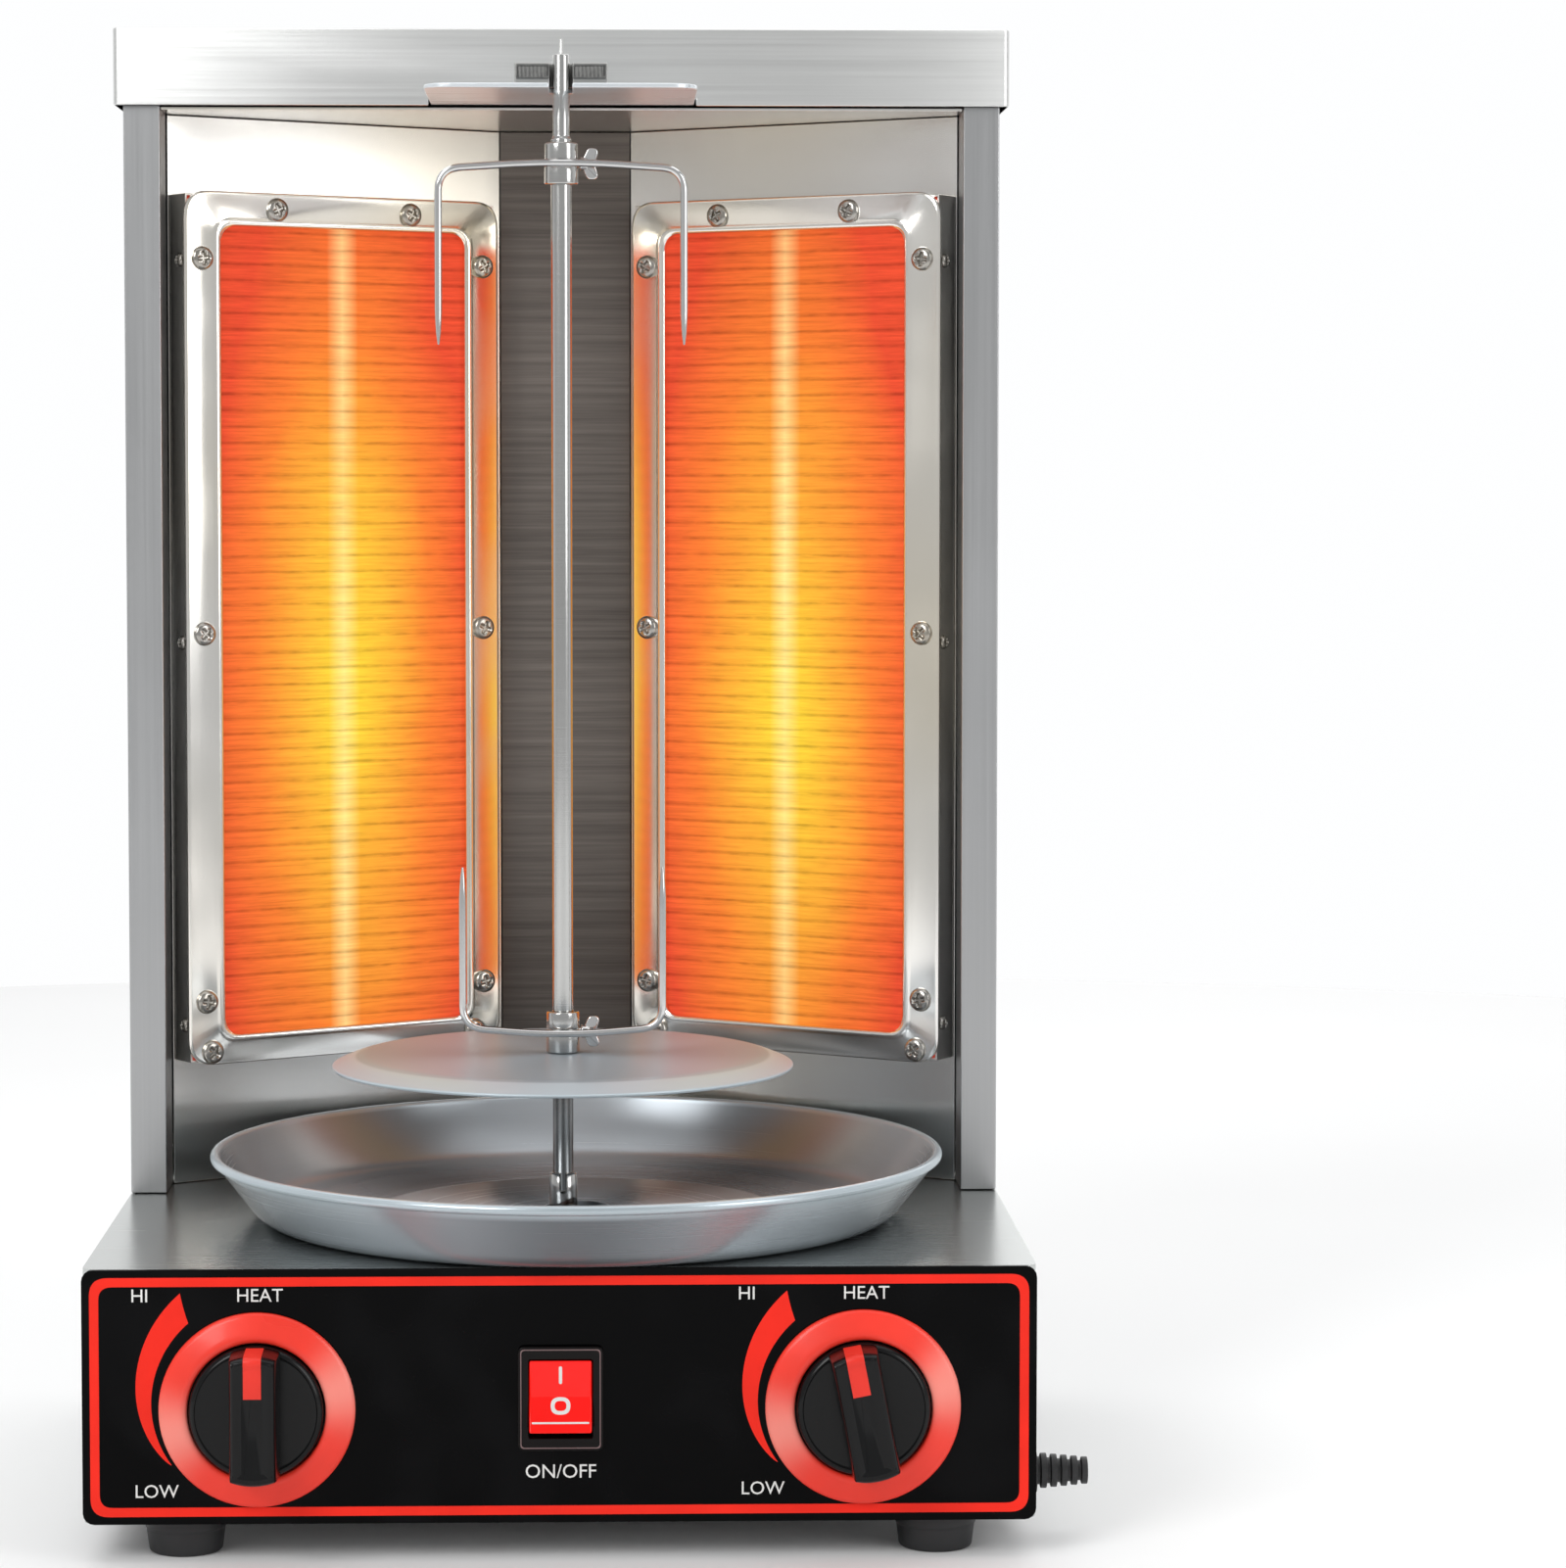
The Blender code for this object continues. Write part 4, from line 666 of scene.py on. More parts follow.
SPIT, PAN = middle("spit_rod"), middle("drip_pan")
LIT_RED = {"Emission_Color": (1.0, 0.012, 0.006, 1), "Emission_Strength": 0.28, "Specular_IOR_Level": 0.3}
# The disc and the pan carry painted highlight and shade: a lighter rim beyond `edge`, and light and dark around
# the axis.
DISC_LOOK = dict(contrast=0.12, satin=0.25, edge=DISC_FLAT, fans=(4, 0.10), Specular_IOR_Level=0.06)
PAN_LOOK = dict(contrast=0.07, satin=0.5, edge=PAN_WALL, fans=(5, 0.46), Specular_IOR_Level=0.12)
FINISHES = {
    "canopy": brushed_steel("canopy_steel", (0.72, 0.725, 0.715), (7, 900, 900), 0.34),
    # Painted shade: the side posts are the canopy's brushed steel given a darker colour.
    "post": brushed_steel("shaded_post_steel", (0.47, 0.475, 0.48), (900, 900, 6), 0.33, contrast=0.18),
    "base": brushed_steel("base_steel", (0.54, 0.56, 0.55), (8, 900, 900), 0.25, contrast=0.3),
    "back": brushed_steel("back_steel", (0.40, 0.40, 0.40), (900, 900, 7), 0.36),
    "column": brushed_steel("column_steel", (0.17, 0.15, 0.135), (12, 300, 700), 0.4, contrast=1.1),
    "inner": polished_steel("reflector_steel", (0.80, 0.79, 0.77), 0.22, 0.35, marks=0.02),
    "box": polished_steel("heater_box_steel", (0.70, 0.69, 0.67), 0.32, 0.3),
    "frame": polished_steel("heater_frame_steel", (0.86, 0.845, 0.815), 0.12, 0.4),
    "bright": polished_steel("polished_steel", (0.66, 0.66, 0.655), 0.12, 0.0),
    "screw": polished_steel("screw_steel", (0.40, 0.385, 0.36), 0.20, 0.3),
    "rod": turned_steel("turned_rod", (0.50, 0.50, 0.49), SPIT, 0.16, 2400.0, contrast=0.2),
    "disc": turned_steel("spun_disc", (0.35, 0.40, 0.44), SPIT, 0.34, 1500.0, **DISC_LOOK),
    "pan": turned_steel("spun_pan", (0.33, 0.36, 0.385), PAN, 0.26, 1300.0, **PAN_LOOK),
    "bracket": brushed_steel("bracket_steel", (0.70, 0.74, 0.77), (9, 900, 900), 0.30, metallic=0.55),
    "rest": brushed_steel("rest_steel", (0.42, 0.42, 0.41), (60, 500, 500), 0.4, contrast=0.3),
    "fluting": brushed_steel("fluted_steel", (0.16, 0.16, 0.155), (500, 500, 500), 0.42, contrast=0.9),
    "panel": glossy_panel(),
    "red_print": moulded("red_print", (0.84, 0.026, 0.014), 0.45, Specular_IOR_Level=0.12),
    # The ring's second colour is its painted highlight.
    "ring": ring_plastic("ring_plastic", (0.84, 0.044, 0.026), (0.88, 0.33, 0.27)),
    "pointer": moulded("pointer_plastic", (0.72, 0.035, 0.022), 0.34, Specular_IOR_Level=0.25),
    # White print, also used for the painted highlight across the rocker.
    "white_print_and_highlight": moulded("white_print_and_highlight", (0.72, 0.72, 0.70), 0.5),
    "knob": moulded("knob_plastic", (0.004, 0.0042, 0.0045), 0.20, grain=1100.0, Specular_IOR_Level=0.22),
    "rocker": moulded("rocker_plastic", (0.70, 0.004, 0.003), 0.12, bump=0.02, **LIT_RED),
    "bezel": moulded("bezel_plastic", (0.004, 0.003, 0.003), 0.16, Specular_IOR_Level=0.14),
    # The light line on the switch bezel, a painted highlight.
    "rim": moulded("painted_bezel_highlight", (0.16, 0.10, 0.10), 0.3),
    "rubber": moulded("foot_rubber", (0.016, 0.016, 0.017), 0.5, grain=900.0, bump=0.15),
    "glow": glowing_face(),
    "board": moulded("fibre_board", (0.78, 0.76, 0.70), 0.9, grain=500.0, bump=0.3),
    "brass": turned_steel("turned_brass", (0.72, 0.54, 0.25), SPIT, 0.28, 900.0),
}


# ---- the pieces
def make_heater(side, outward):
    space = HeaterSpace(side, outward)
    make_heater_plate(side, space)
    make_heater_frame(side, space)
    make_heater_screws(side, space)
    for part, finish in (("reflector", "inner"), ("heater_box", "box")):
        rounded_sheet(f"{part}_{side}", finish, 0.0002)


def make_heater_plate(side, space):
    """The ceramic face: a grid over its width and height, its depth cut by rows of grooves and by the joints of
    bricks that are offset by half a brick in every other row. With g and j the way to the nearest groove and
    joint, the cut is exp(-(g/.13)^2) + .4 exp(-(j/.06)^2) of a groove's depth."""
    low, high = space.box(f"heater_plate_{side}")
    u, w = np.meshgrid(np.linspace(low[0], high[0], 76), np.linspace(low[2], high[2], GROOVES * 7 + 1))
    level = (w - low[2]) / (high[2] - low[2]) * GROOVES
    brick = (u - low[0]) / BRICK_LENGTH + 0.5 * (np.floor(level) % 2)
    from_groove, from_joint = (abs(count - np.round(count)) for count in (level, brick))
    cut = GROOVE_DEPTH * (np.exp(-((from_groove / 0.13) ** 2)) + 0.4 * np.exp(-((from_joint / 0.06) ** 2)))
    points, faces = closed_relief(np.stack([u, w, high[1] - cut], axis=-1), low[1])

    def on_face(points):
        return ((space.to_local(points) - low) / (high - low))[:, [0, 2]]

    shape = (space.to_world(points[:, [0, 2, 1]]), faces)
    for_node(f"heater_plate_{side}", shape, "glow", uv=on_face, sharp=60)


def make_heater_frame(side, space):
    """A pressed frame: a band between two rounded rectangles, with rolled edges and a raised lip at its
    opening. The opening is read from the CAD frame's points that lie well inside its outline."""
    low, high = space.box(f"heater_frame_{side}")
    centre, (width, thick, height) = (low + high) / 2, high - low
    local = space.to_local(node_points(f"heater_frame_{side}"))
    aside = abs(local - centre)
    inside = local[(aside[:, 0] < width / 2 - 0.008) & (aside[:, 2] < height / 2 - 0.006)]
    opening_low, opening_high = inside.min(0), inside.max(0)
    opening = opening_high - opening_low
    shift = (opening_low + opening_high) / 2 - centre
    outer = rounded_rectangle(width, height, 0.009)
    inner = rounded_rectangle(opening[0], opening[2], 0.006) + shift[[0, 2]]
    lip = 0.0007
    section = [
        (0, 0), (0, 0.6 * thick), (0.03, 0.92 * thick), (0.08, thick), (0.74, thick), (0.80, thick + 0.6 * lip),
        (0.87, thick + lip), (0.94, thick + 0.8 * lip), (0.99, thick), (1, 0.5 * thick), (1, 0),
    ]
    points, faces = band(outer, inner, section)
    points = points[:, [0, 2, 1]] + (centre[0], low[1], centre[2])
    for_node(f"heater_frame_{side}", (space.to_world(points), faces), "frame")


def make_heater_screws(side, space):
    """Pan heads round the heater's frame, and three bolts on the outer wall of its box."""
    low, high = space.box(f"heater_frame_{side}")
    drops = (0.0225, 0.148, 0.272)
    spots = [(low[0] + along, high[2] - 0.0056) for along in (0.035, 0.087)]
    spots += [(u, high[2] - drop) for u in (low[0] + 0.0065, high[0] - 0.0065) for drop in drops]
    spots += [(u, low[2] + 0.0044) for u in (low[0] + 0.0085, high[0] - 0.0105)]
    head, outwards = pan_head(0.0041, 0.0019), space.axes[[0, 2, 1]].T
    heads = [
        moved(moved(head, turn=about("Z", 23 + 37 * number)), space.to_world([u, high[1], w]), outwards)
        for number, (u, w) in enumerate(spots)
    ]
    low, high = space.box(f"heater_box_{side}")
    bolt, sideways = pan_head(0.0024, 0.0015), np.stack([space.axes[1], space.axes[2], -space.axes[0]], axis=1)
    heads += [
        moved(bolt, space.to_world([low[0], high[1] - 0.0035, high[2] - drop]), sideways)
        for drop in (0.022, 0.150, 0.279)
    ]
    piece(f"heater_screws_{side}", joined(*heads), "screw", "housing", "polished_steel", sharp=50)


def make_spit():
    """The rod with its needle, the carrying disc with its hub, and the slotted coupling that drives them."""
    low, high, centre, size = measured("spit_rod")
    centre, radius = centre[:2], size[1] / 2
    hole = radius + FIT
    needle, shoulder = 0.0007, high[2] - 0.005
    slim = radius * 0.83
    neck = box("upper_fork_collar")[1][2] + 0.0012
    profile = rounded([
        (0, low[2], 0), (radius, low[2], 0.0006), (radius, neck, 0.0004), (slim, neck + 0.0008, 0.0004),
        (slim, shoulder, 0.0006), (needle, shoulder, 0.0002), (needle * 0.7, high[2], 0.0003), (0, high[2], 0),
    ], steps=3)
    outline = rounded_rectangle(size[0], 0.6 * radius, 0.0003, 2)
    blade = slab(outline, low[2] + 0.0003, low[2] + 0.004, 0.0002)
    for_node("spit_rod", moved(joined(lathe(profile, 40), blade), (*centre, 0)), "rod")

    low, high = box("meat_disc")
    drop, thick, lip = 0.0036, 0.0012, DISC_RIM - 0.0004
    turned_ring("meat_disc", [
        (hole, 0, 0), (DISC_FLAT, 0, 0.004), (lip, -drop + 0.0004, 0.0006), (DISC_RIM, -drop, 0.0004),
        (lip, low[2] - high[2], 0.0005), (DISC_FLAT - 0.001, -thick, 0.004), (hole, -thick, 0),
    ], 6, 192, (*centre, high[2]), "disc")

    low, _, _, size = measured("disc_hub")
    outer, tall = size[0] / 2, size[2]
    neck, soft = outer - 0.0016, 0.0005
    turned_ring("disc_hub", [
        (hole, 0, soft), (neck, 0, soft), (neck, tall * 0.45, soft), (outer, tall * 0.6, soft),
        (outer, tall, soft), (hole, tall, soft),
    ], 3, 64, (*centre, low[2]), "rod")
    make_coupling(centre, hole)


def make_coupling(centre, inner):
    """A socket whose wall has four U-shaped slots. At the angle a the wall's top is lowered by
    depth - (w/2 - sqrt((w/2)^2 - s^2)) wherever s, the way from the nearest slot's middle, is under w/2."""
    low, _, _, size = measured("drive_coupling")
    outer, height, depth, slot = size[0] / 2, size[2], 0.0062, 0.0026
    angle = np.linspace(0, math.tau, 240, endpoint=False)
    nearest = (angle + math.pi / 4) % (math.pi / 2) - math.pi / 4
    off = outer * np.sin(nearest)
    round_end = slot / 2 - np.sqrt(np.clip((slot / 2) ** 2 - off**2, 0, None))
    floor = height - depth
    top = np.where(abs(off) < slot / 2, floor + round_end, height)
    bore, step = 0.0031, 0.0012
    rows = [
        (0, step), (bore, step), (bore, 0), (outer - 0.0005, 0), (outer, 0.0005), (outer, top - 0.0003),
        (outer - 0.0003, top), (inner + 0.0002, top), (inner, np.maximum(top - 0.0002, floor)), (inner, floor),
        (0, floor),
    ]
    points = [np.stack([r * np.cos(angle), r * np.sin(angle), z + 0 * angle], axis=1) for r, z in rows]
    shape = moved(grid(np.array(points), wrap_columns=True), (*centre, low[2]))
    for_node("drive_coupling", shape, "rod", sharp=45)


def make_fork(name, upwards):
    """A wire fork with its collar and wing screw. The wire runs up one leg, round a corner, over a slightly
    bowed bar and down the other leg, and thins to a point at each end as (way from the end)^0.6."""
    low, high, own_middle, size = measured(f"{name}_wire")
    centre = middle("spit_rod")
    thick = size[1] / 2
    half = size[0] / 2 - thick
    leg_end, bar = (high[2], low[2] + thick) if upwards else (low[2], high[2] - thick)
    bow, corner = 0.0026, 0.0072
    shoulder = bar + bow if upwards else bar - bow
    turns = rounded([
        (-half, leg_end, 0), (-half, shoulder, corner), (0, bar, 0.030), (half, shoulder, corner),
        (half, leg_end, 0),
    ], steps=14)
    t = np.linspace(0, 1, 14)[:, None]
    path = np.concatenate([
        turns[0] + (turns[1] - turns[0]) * t[:-1], turns[1:-1], turns[-2] + (turns[-1] - turns[-2]) * t[1:]
    ])
    distance = np.minimum(abs(path[:, 1] - leg_end), 0.010) / 0.010
    points = np.insert(path + (centre[0], 0), 1, own_middle[1], axis=1)
    radius = thick * (0.25 + 0.75 * distance**0.6)
    for_node(f"{name}_wire", tube(points, radius), "bright")

    low, _, _, size = measured(f"{name}_collar")
    outer, inner, tall = size[0] / 2, 0.0036, size[2]
    neck, upper = outer - 0.0006, outer - 0.0001
    turned_ring(f"{name}_collar", [
        (inner, 0, 0.0002), (outer, 0, 0.0005), (outer, tall * 0.42, 0.0002), (neck, tall * 0.45, 0.0002),
        (neck, tall * 0.57, 0.0002), (upper, tall * 0.60, 0.0002), (upper, tall, 0.0006), (inner, tall, 0.0002),
    ], 3, 72, (*centre[:2], low[2]), "rod")
    make_thumbscrew(f"{name}_thumbscrew")


def make_thumbscrew(name):
    """A shank along X with two rounded wings standing up and down from its head."""
    low, _, centre, size = measured(name)
    place = (low[0], centre[1], centre[2])
    reach, thick, shank = size[2] / 2, 0.0016, 0.0013
    profile = rounded([
        (0, 0, 0), (shank, 0, 0.0002), (shank, 0.0024, 0.0002), (shank + 0.0009, 0.0024, 0.0004),
        (shank + 0.0007, 0.0050, 0.0006), (0, 0.0052, 0),
    ], steps=3)
    root, top = 0.0030, size[0]
    tip = [(top, reach * 0.72), (top - 0.0007, reach), (top - 0.0034, reach), (root, 0.0009)]
    upper = [(root + 0.0040, 0)] + tip
    lower = [(x, -z) for x, z in tip[::-1]]
    outline = rounded(lower + upper, 0.0010, 4, closed=True)
    stem = moved(lathe(profile, 28), place, about("Y", 90))
    wings = moved(slab(outline, -thick / 2, thick / 2, 0.0004), place, FRONTWARDS)
    for_node(name, joined(stem, wings), "bright")


def make_pan():
    """The drip pan: floor, rounded corner, sloping wall, rolled rim and the lip round its hole."""
    low, _, centre, size = measured("drip_pan")
    rim, tall = PAN_RIM, size[2]
    bead, sheet, hole, lip = 0.0016, 0.001, 0.010, 0.0025
    floor, corner = rim - 0.0165, 0.006
    angle = np.radians(np.linspace(-100, 175, 16))
    roll = np.stack([rim - bead + bead * np.cos(angle), tall - bead + bead * np.sin(angle)], axis=1)
    outside = rounded([(hole, 0, 0), (floor, 0, corner), (*roll[0], 0)], steps=8)
    inside = rounded([
        (*roll[-1], 0), (floor - 0.0003, sheet, corner), (hole + sheet, sheet, 0.001),
        (hole + sheet, lip, 0.0003), (hole, lip, 0),
    ], steps=8)
    ridge = [(floor * 0.66, 0), (floor * 0.65, 0.0004), (floor * 0.63, 0.0004), (floor * 0.62, 0)]
    split = int(np.argmax(inside[:, 0] < floor * 0.66))
    inside = np.concatenate([inside[:split], np.add(ridge, (0, sheet)), inside[split:]])
    profile = np.concatenate([outside[:-1], roll, inside[1:]])
    for_node("drip_pan", moved(lathe(profile, 224, closed=True), (*centre[:2], low[2])), "pan")


def make_knob(side):
    """Skirt, rounded grip with a dished face, and the pointer let into its upper end."""
    _, high, _, size = measured(f"knob_{side}")
    centre = middle(f"knob_ring_{side}")
    depth, radius = size[1], measured("knob_left")[3][0] / 2
    skirt, dish = 0.0058, 0.0004
    profile = rounded([
        (0, 0, 0), (radius, 0, 0.0003), (radius, skirt - 0.0012, 0.0010), (radius - 0.0016, skirt, 0.0006),
        (radius * 0.9, skirt - dish, 0.0006), (0, skirt - dish, 0),
    ], steps=4)
    half_width, reach = 0.0076, radius - 0.0003
    end = math.asin(half_width / radius)
    arc = np.linspace(-end, end, 13)
    upper = np.stack([-reach * np.sin(arc), reach * np.cos(arc)], axis=1)
    outline = rounded(np.concatenate([upper, -upper]), 0.0008, 2, closed=True)
    edge = [
        (0.0, 0.007), (0.0004, depth - 0.0030), (0.0007, depth - 0.0012), (0.0013, depth - 0.0003),
        (0.0021, depth), (0.0030, depth - 0.0001), (0.0042, depth - 0.0005),
    ]
    grip = stacked(outline, [(0.0, 0.002)] + edge)
    turn = FRONTWARDS @ about("Z", -JOINTS[f"knob_{side}_turn"]["range_deg"][0])
    place = (centre[0], high[1], centre[2])
    for_node(f"knob_{side}", moved(joined(lathe(profile, 128), grip), place, turn), "knob")
    pointer = moved(pointer_strip(reach, edge), place, turn)
    piece(f"knob_pointer_{side}", pointer, "pointer", f"knob_{side}", "red_plastic")


def pointer_strip(reach, edge):
    """An inlay that runs from the face over the edge and down the grip's end: a flat section, 5.4 mm wide with
    rounded edges, carried along the grip's own edge profile and raised a little above it."""
    proud, sunk, half, bevel = 0.00016, 0.0006, 0.0027, 0.0002
    on_face = (0.0130, edge[-1][1])
    path = rounded([(reach - depth, level) for depth, level in [on_face] + edge[::-1]], 0.0004, 3)
    way = np.gradient(path, axis=0)
    out = across(way) * np.sign(way[0, 0])
    aside = np.array([-half, -half, bevel - half, half - bevel, half, half])
    lift = np.array([-sunk, proud - 0.0001, proud, proud, proud - 0.0001, -sunk])
    flat = path[:, None] + lift[None, :, None] * out[:, None]
    sides = np.broadcast_to(aside[None, :, None], flat.shape[:2] + (1,))
    return grid(np.concatenate([sides, flat], axis=-1), wrap_columns=True, caps=True)


def make_ring(side):
    name = f"knob_ring_{side}"
    _, high, centre, size = measured(name)
    outer, inner, tall = size[0] / 2, 0.0209, size[1]
    turned_ring(name, [
        (inner, 0, 0), (outer, 0, 0.0002), (outer, 0.0011, 0.0005), (outer - 0.0009, 0.0019, 0.0006),
        (inner + 0.0026, tall - 0.0002, 0.0010), (inner + 0.0014, tall, 0.0006),
        (inner + 0.0004, tall - 0.0003, 0.0004), (inner, tall - 0.0010, 0.0003),
    ], 4, 160, (centre[0], high[1], centre[2]), "ring", FRONTWARDS)


def make_panel_print():
    """The border line, the two growing scales and the labels, all as thin raised print."""
    low, _, centre, (width, _, height) = measured("front_panel")
    margin, line = 0.0024, 0.0028
    edge = border(width - 2 * margin, height - 2 * margin, 0.0055, line, 0.0040)
    red = [moved(edge, (centre[0], low[1], centre[2]), FRONTWARDS)]
    white = []
    for side, _ in SIDES:
        knob = middle(f"knob_ring_{side}")
        spot = np.array([knob[0], low[1], knob[2]])
        red.append(moved(growing_scale(), spot, FRONTWARDS))
        labels = (("HI", -0.0354, 0.0347), ("HEAT", 0.0009, 0.0347), ("LOW", -0.0306, -0.0252))
        for words, right, up in labels:
            white.append(moved(lettering(words, 0.0040), spot + (right, 0, up), FRONTWARDS))
    switch = middle("switch_housing")
    white.append(moved(lettering("ON/OFF", 0.0042), (switch[0], low[1], switch[2] - 0.0228), FRONTWARDS))
    piece("panel_red_print", joined(*red), "red_print", "housing", "red_plastic")
    piece("panel_labels", joined(*white), "white_print_and_highlight", "housing", "black_panel")


def growing_scale():
    """A crescent beside the knob. With t from its lower end to its upper one and s from its inner edge to its
    outer one, the angle is 123 - t (85 + 5 s) degrees from the top and the radius runs from 31 + 2.6 t to
    31.2 + 11.3 t^0.83 millimetres."""
    t, s = np.meshgrid(np.linspace(0, 1, 48), np.linspace(0, 1, 7), indexing="ij")
    angle = np.radians(123 - t * (85 + 5 * s))
    radius = (0.0310 + 0.0026 * t) * (1 - s) + (0.0312 + 0.0113 * t**0.83) * s
    top = np.stack([-radius * np.sin(angle), radius * np.cos(angle), np.full_like(t, PRINT)], axis=-1)
    return closed_relief(top, -SEAT)


def make_switch():
    """The bezel and the rocker, which is pressed in at its upper side, with its two marks and a thin raised
    white line that is a painted highlight where its lower face bends.
    """
    rounded_sheet("switch_housing", "bezel", 0.0004, 3)
    rounded_sheet("switch_rocker", "rocker", 0.0005, 3)
    low, _, centre, (width, _, height) = measured("switch_housing")
    # Painted highlight: a thin light line just inside the bezel's edge, raised only by a print's thickness.
    outer = rounded_rectangle(width - 0.0016, height - 0.0016, 0.0012)
    inner = outer * (1 - 0.0007 / width, 1 - 0.0007 / height)
    rim = moved(band(outer, inner, PRINT_SECTION), (centre[0], low[1], centre[2]), FRONTWARDS)
    piece("switch_painted_highlight", rim, "rim", "housing", "black_plastic")

    _, _, centre, size = measured("switch_rocker")
    line = slab(rounded_rectangle(0.0010, 0.0054, 0.0004, 2), -SEAT, PRINT, 0.00004)
    outer, inner = rounded_rectangle(0.0060, 0.0054, 0.0028), rounded_rectangle(0.0036, 0.0031, 0.0016)
    ring = band(outer, inner, PRINT_SECTION)
    # Painted highlight: a thin white strip across the rocker where its lower face bends.
    ridge = slab(rounded_rectangle(size[0] - 0.0016, 0.0006, 0.0002, 2), -SEAT, 2 * PRINT, 0.0001)
    marks = ((line, 0.0062), (ring, -0.0030), (ridge, -0.0078))
    laid = [on_rocker(shape, centre[0], centre[2] + up) for shape, up in marks]
    piece("rocker_marks_and_highlight", joined(*laid), "white_print_and_highlight", "rocker", "red_plastic")


def on_rocker(shape, x, z):
    """The shape laid on the rocker's front face at x, z: its own height follows the face's normal."""
    faces = [tuple(face.vertices) for face in frame["nodes"]["switch_rocker"].data.polygons]
    surface = BVHTree.FromPolygons(node_points("switch_rocker").tolist(), faces)
    spot, normal, _, _ = surface.ray_cast((x, -1, z), (0, 1, 0))
    lean = math.degrees(math.atan2(normal[2], -normal[1]))
    return moved(shape, np.array(spot), about("X", 90 - lean))


def make_foot(name):
    low, _, centre, size = measured(name)
    top, tall = size[0] / 2, size[2]
    profile = rounded([
        (0, 0.006, 0), (0.005, 0.006, 0.0005), (0.005, 0, 0.0004), (top - 0.0013, 0, 0.0012),
        (top - 0.0004, tall * 0.62, 0.0006), (top, tall * 0.66, 0.0005), (top, tall, 0.0008), (0, tall, 0),
    ], steps=4)
    for_node(name, moved(lathe(profile, 96), (*centre[:2], low[2])), "rubber")


def make_rest():
    """The block behind the bracket's slot, with a fluted plate in a raised rim on each half. The plate's height
    is 0.35 sin^2(pi x / pitch) sin(pi (z / tall + 1/2))^0.4 millimetres above its ground."""
    rounded_sheet("spit_rest", "rest", 0.0004)
    low, high, _, size = measured("spit_rest")
    half, tall = size[0] / 2 - 0.0042, size[2] * 0.58
    pitch, rim = 0.00125, 0.0006
    x, z = np.meshgrid(
        np.linspace(-half / 2 + rim, half / 2 - rim, 73), np.linspace(-tall / 2 + rim, tall / 2 - rim, 9)
    )
    rise = 0.00035 * np.sin(math.pi * x / pitch) ** 2 * np.sin(math.pi * (z / tall + 0.5)) ** 0.4
    plate = closed_relief(np.stack([x, z, rise], axis=-1), -SEAT)
    section = [(0, 0), (0, 0.0004), (0.3, 0.0005), (0.8, 0.0005), (1, 0.0004), (1, 0)]
    edge = border(half, tall, 0.0005, rim, 0.0003, section)
    plates = [
        moved(shape, (centre_x, low[1] - 0.0001, high[2] - tall / 2 - 0.0006), FRONTWARDS)
        for centre_x in (low[0] + half / 2 + 0.0005, high[0] - half / 2 - 0.0005)
        for shape in (plate, edge)
    ]
    piece("rest_fluting", joined(*plates), "fluting", "housing", "dark_steel")


def make_cabinet():
    for name, finish, width in (
        ("canopy", "canopy", 0.00048), ("base_shell", "base", 0.00045), ("rear_cover", "back", 0.0002),
        ("base_floor", "back", 0.0002), ("front_panel", "panel", 0.0003), ("ceiling_panel", "inner", 0.0002),
        ("back_column", "column", 0.0002), ("spit_bracket", "bracket", 0.0005),
        ("cable_gland", "rubber", 0.0001), ("terminal_block", "bezel", 0.0004), ("gland_nut", "brass", 0.0002),
        ("side_panel_left", "post", 0.00045), ("side_panel_right", "post", 0.00045),
    ):
        rounded_sheet(name, finish, width)


def make_case_screws():
    """Pan heads that hold the rear cover and the floor."""
    low, high = box("rear_cover")
    top = box("canopy")[0][2]
    head = pan_head(0.0032, 0.0012)
    heads = [
        moved(moved(head, turn=about("Z", 17 + 50 * row)), (x, high[1], z), about("X", -90))
        for x in (low[0] + 0.007, high[0] - 0.007)
        for row, z in enumerate((low[2] + 0.012, (low[2] + top) / 2, top - 0.012))
    ]
    low, high = box("base_floor")
    heads += [
        moved(pan_head(0.0030, 0.0012), (x, y, low[2]), about("X", 180))
        for x in (low[0] + 0.045, high[0] - 0.045)
        for y in (low[1] + 0.008, high[1] - 0.008)
    ]
    piece("case_screws", joined(*heads), "screw", "housing", "polished_steel", sharp=50)


def finish_the_rest():
    """Gives every CAD node that is still shown its own procedural finish."""
    own = {"gear_motor": "back", "motor_bracket": "back", "motor_shaft": "rod"}
    for side, _ in SIDES:
        own[f"heating_element_{side}"] = "column"
        own[f"insulation_board_{side}"] = "board"
        own[f"control_shaft_{side}"] = "rod"
        own[f"heat_control_{side}"] = "bezel"
    for name, obj in frame["nodes"].items():
        if obj.hide_render:
            continue
        for slot in obj.material_slots:
            slot.material = FINISHES[own[name]]
        if not obj.material_slots:
            obj.data.materials.append(FINISHES[own[name]])


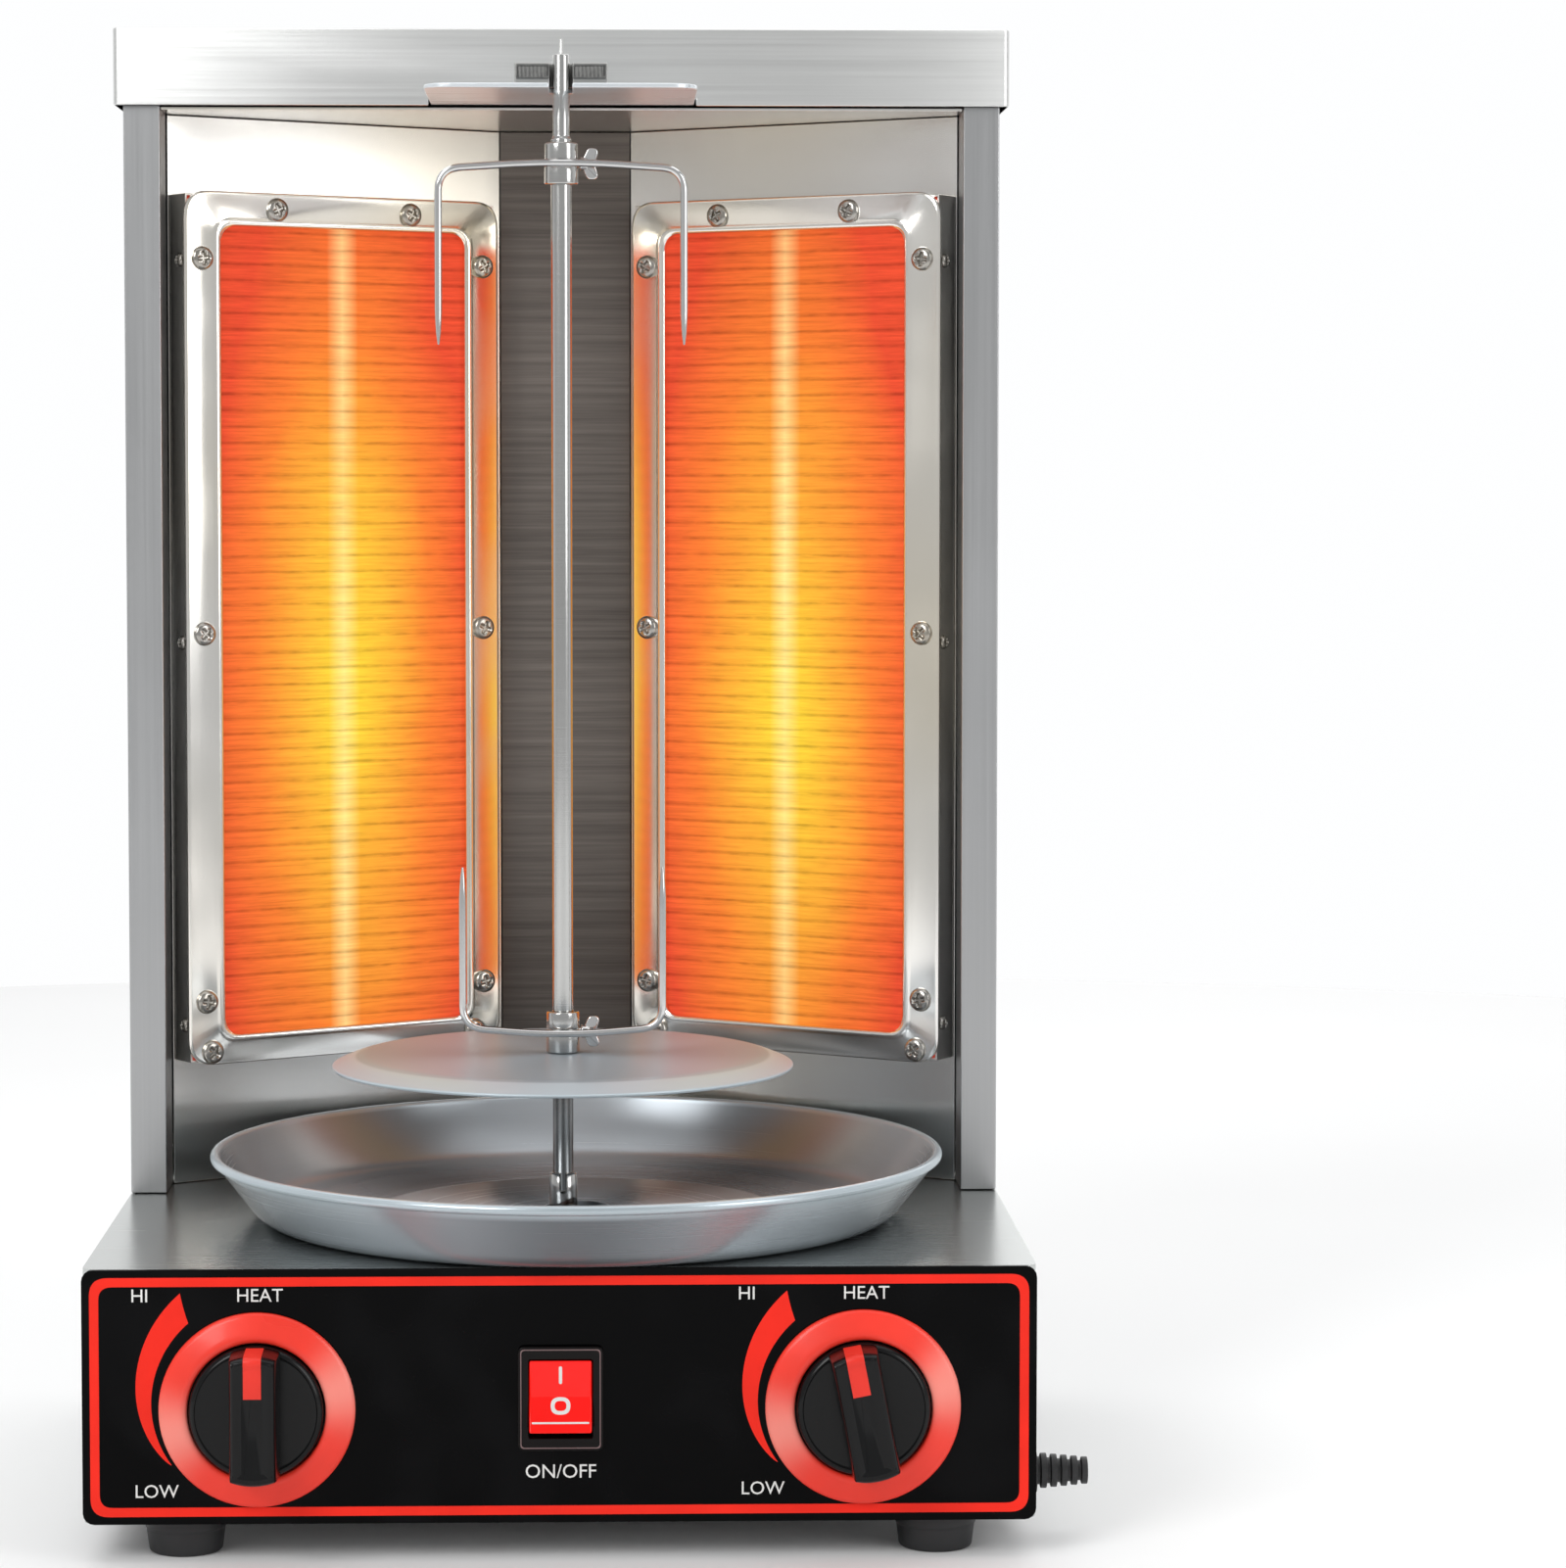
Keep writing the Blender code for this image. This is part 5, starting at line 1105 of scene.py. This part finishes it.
# ---- the stage
def make_floor():
    """A round pale floor: rings of quads about the middle."""
    radius = np.array([0, 0.35, 0.8, 1.45])
    points, faces = lathe(np.column_stack([radius, 0 * radius]), 64)
    mesh = bpy.data.meshes.new("floor")
    mesh.from_pydata(points.tolist(), [], faces)
    look = Finish("pale_floor", Roughness=0.7)
    cloud = wire(look.tree, "TexNoise", look.place, Scale=3.0)
    tone = mixed(look.tree, cloud, (0.84, 0.84, 0.84, 1), (0.88, 0.88, 0.88, 1))
    mesh.materials.append(look.fed(Base_Color=tone))
    placed("floor", mesh)


def make_studio():
    """A studio that is white behind the oven and dimmer before it and overhead."""
    world = bpy.data.worlds.new("studio")
    world.use_nodes = True
    tree = world.node_tree
    _, backwards, upwards = wires(tree, "SeparateXYZ", wire(tree, "TexCoord"))
    strength = backwards.eased(-0.35, 0.55, 0.55, 1.0) * upwards.eased(0.40, 0.90, 1.0, 0.50)
    feed_all(tree.nodes["Background"].inputs, Color=(0.99, 0.995, 1.0, 1), Strength=strength)
    bpy.context.scene.world = world
    bpy.context.scene.view_settings.view_transform = "Standard"


def area_light(name, place, target, size, power):
    data = bpy.data.lights.new(name, "AREA")
    data.shape = "RECTANGLE"
    data.size, data.size_y = size
    data.energy = power
    light = placed(name, data)
    light.location = place
    light.rotation_euler = (Vector(target) - Vector(place)).to_track_quat("-Z", "Y").to_euler()


def make_camera():
    data = bpy.data.cameras.new("camera")
    data.lens = 100.59
    data.sensor_width = 36
    data.shift_x, data.shift_y = 0.04, -0.04
    data.dof.use_dof = False
    camera = placed("camera", data)
    camera.location = (0.0063, -1.4329, 0.3301)
    camera.rotation_euler = (math.radians(90 - 3.212), 0, math.radians(-1.509))
    bpy.context.scene.camera = camera


for side, outward in SIDES:
    make_heater(side, outward)
    make_knob(side)
    make_ring(side)
make_spit()
make_fork("lower_fork", True)
make_fork("upper_fork", False)
make_pan()
make_panel_print()
make_switch()
for end in ("front", "rear"):
    for side, _ in SIDES:
        make_foot(f"foot_{end}_{side}")
make_rest()
make_cabinet()
make_case_screws()
finish_the_rest()
make_floor()
make_studio()
MID_OVEN = (0, 0, 0.25)
area_light("key", (-1.3, -1.7, 1.5), MID_OVEN, (1.0, 1.2), 26)
area_light("fill", (1.6, -1.2, 0.9), MID_OVEN, (0.8, 1.4), 12)
area_light("top", (0, 0.4, 2.3), (0, 0.4, 0), (3.2, 3.2), 36)
area_light("back", (0.6, 1.8, 1.2), MID_OVEN, (1.2, 1.0), 4)
make_camera()
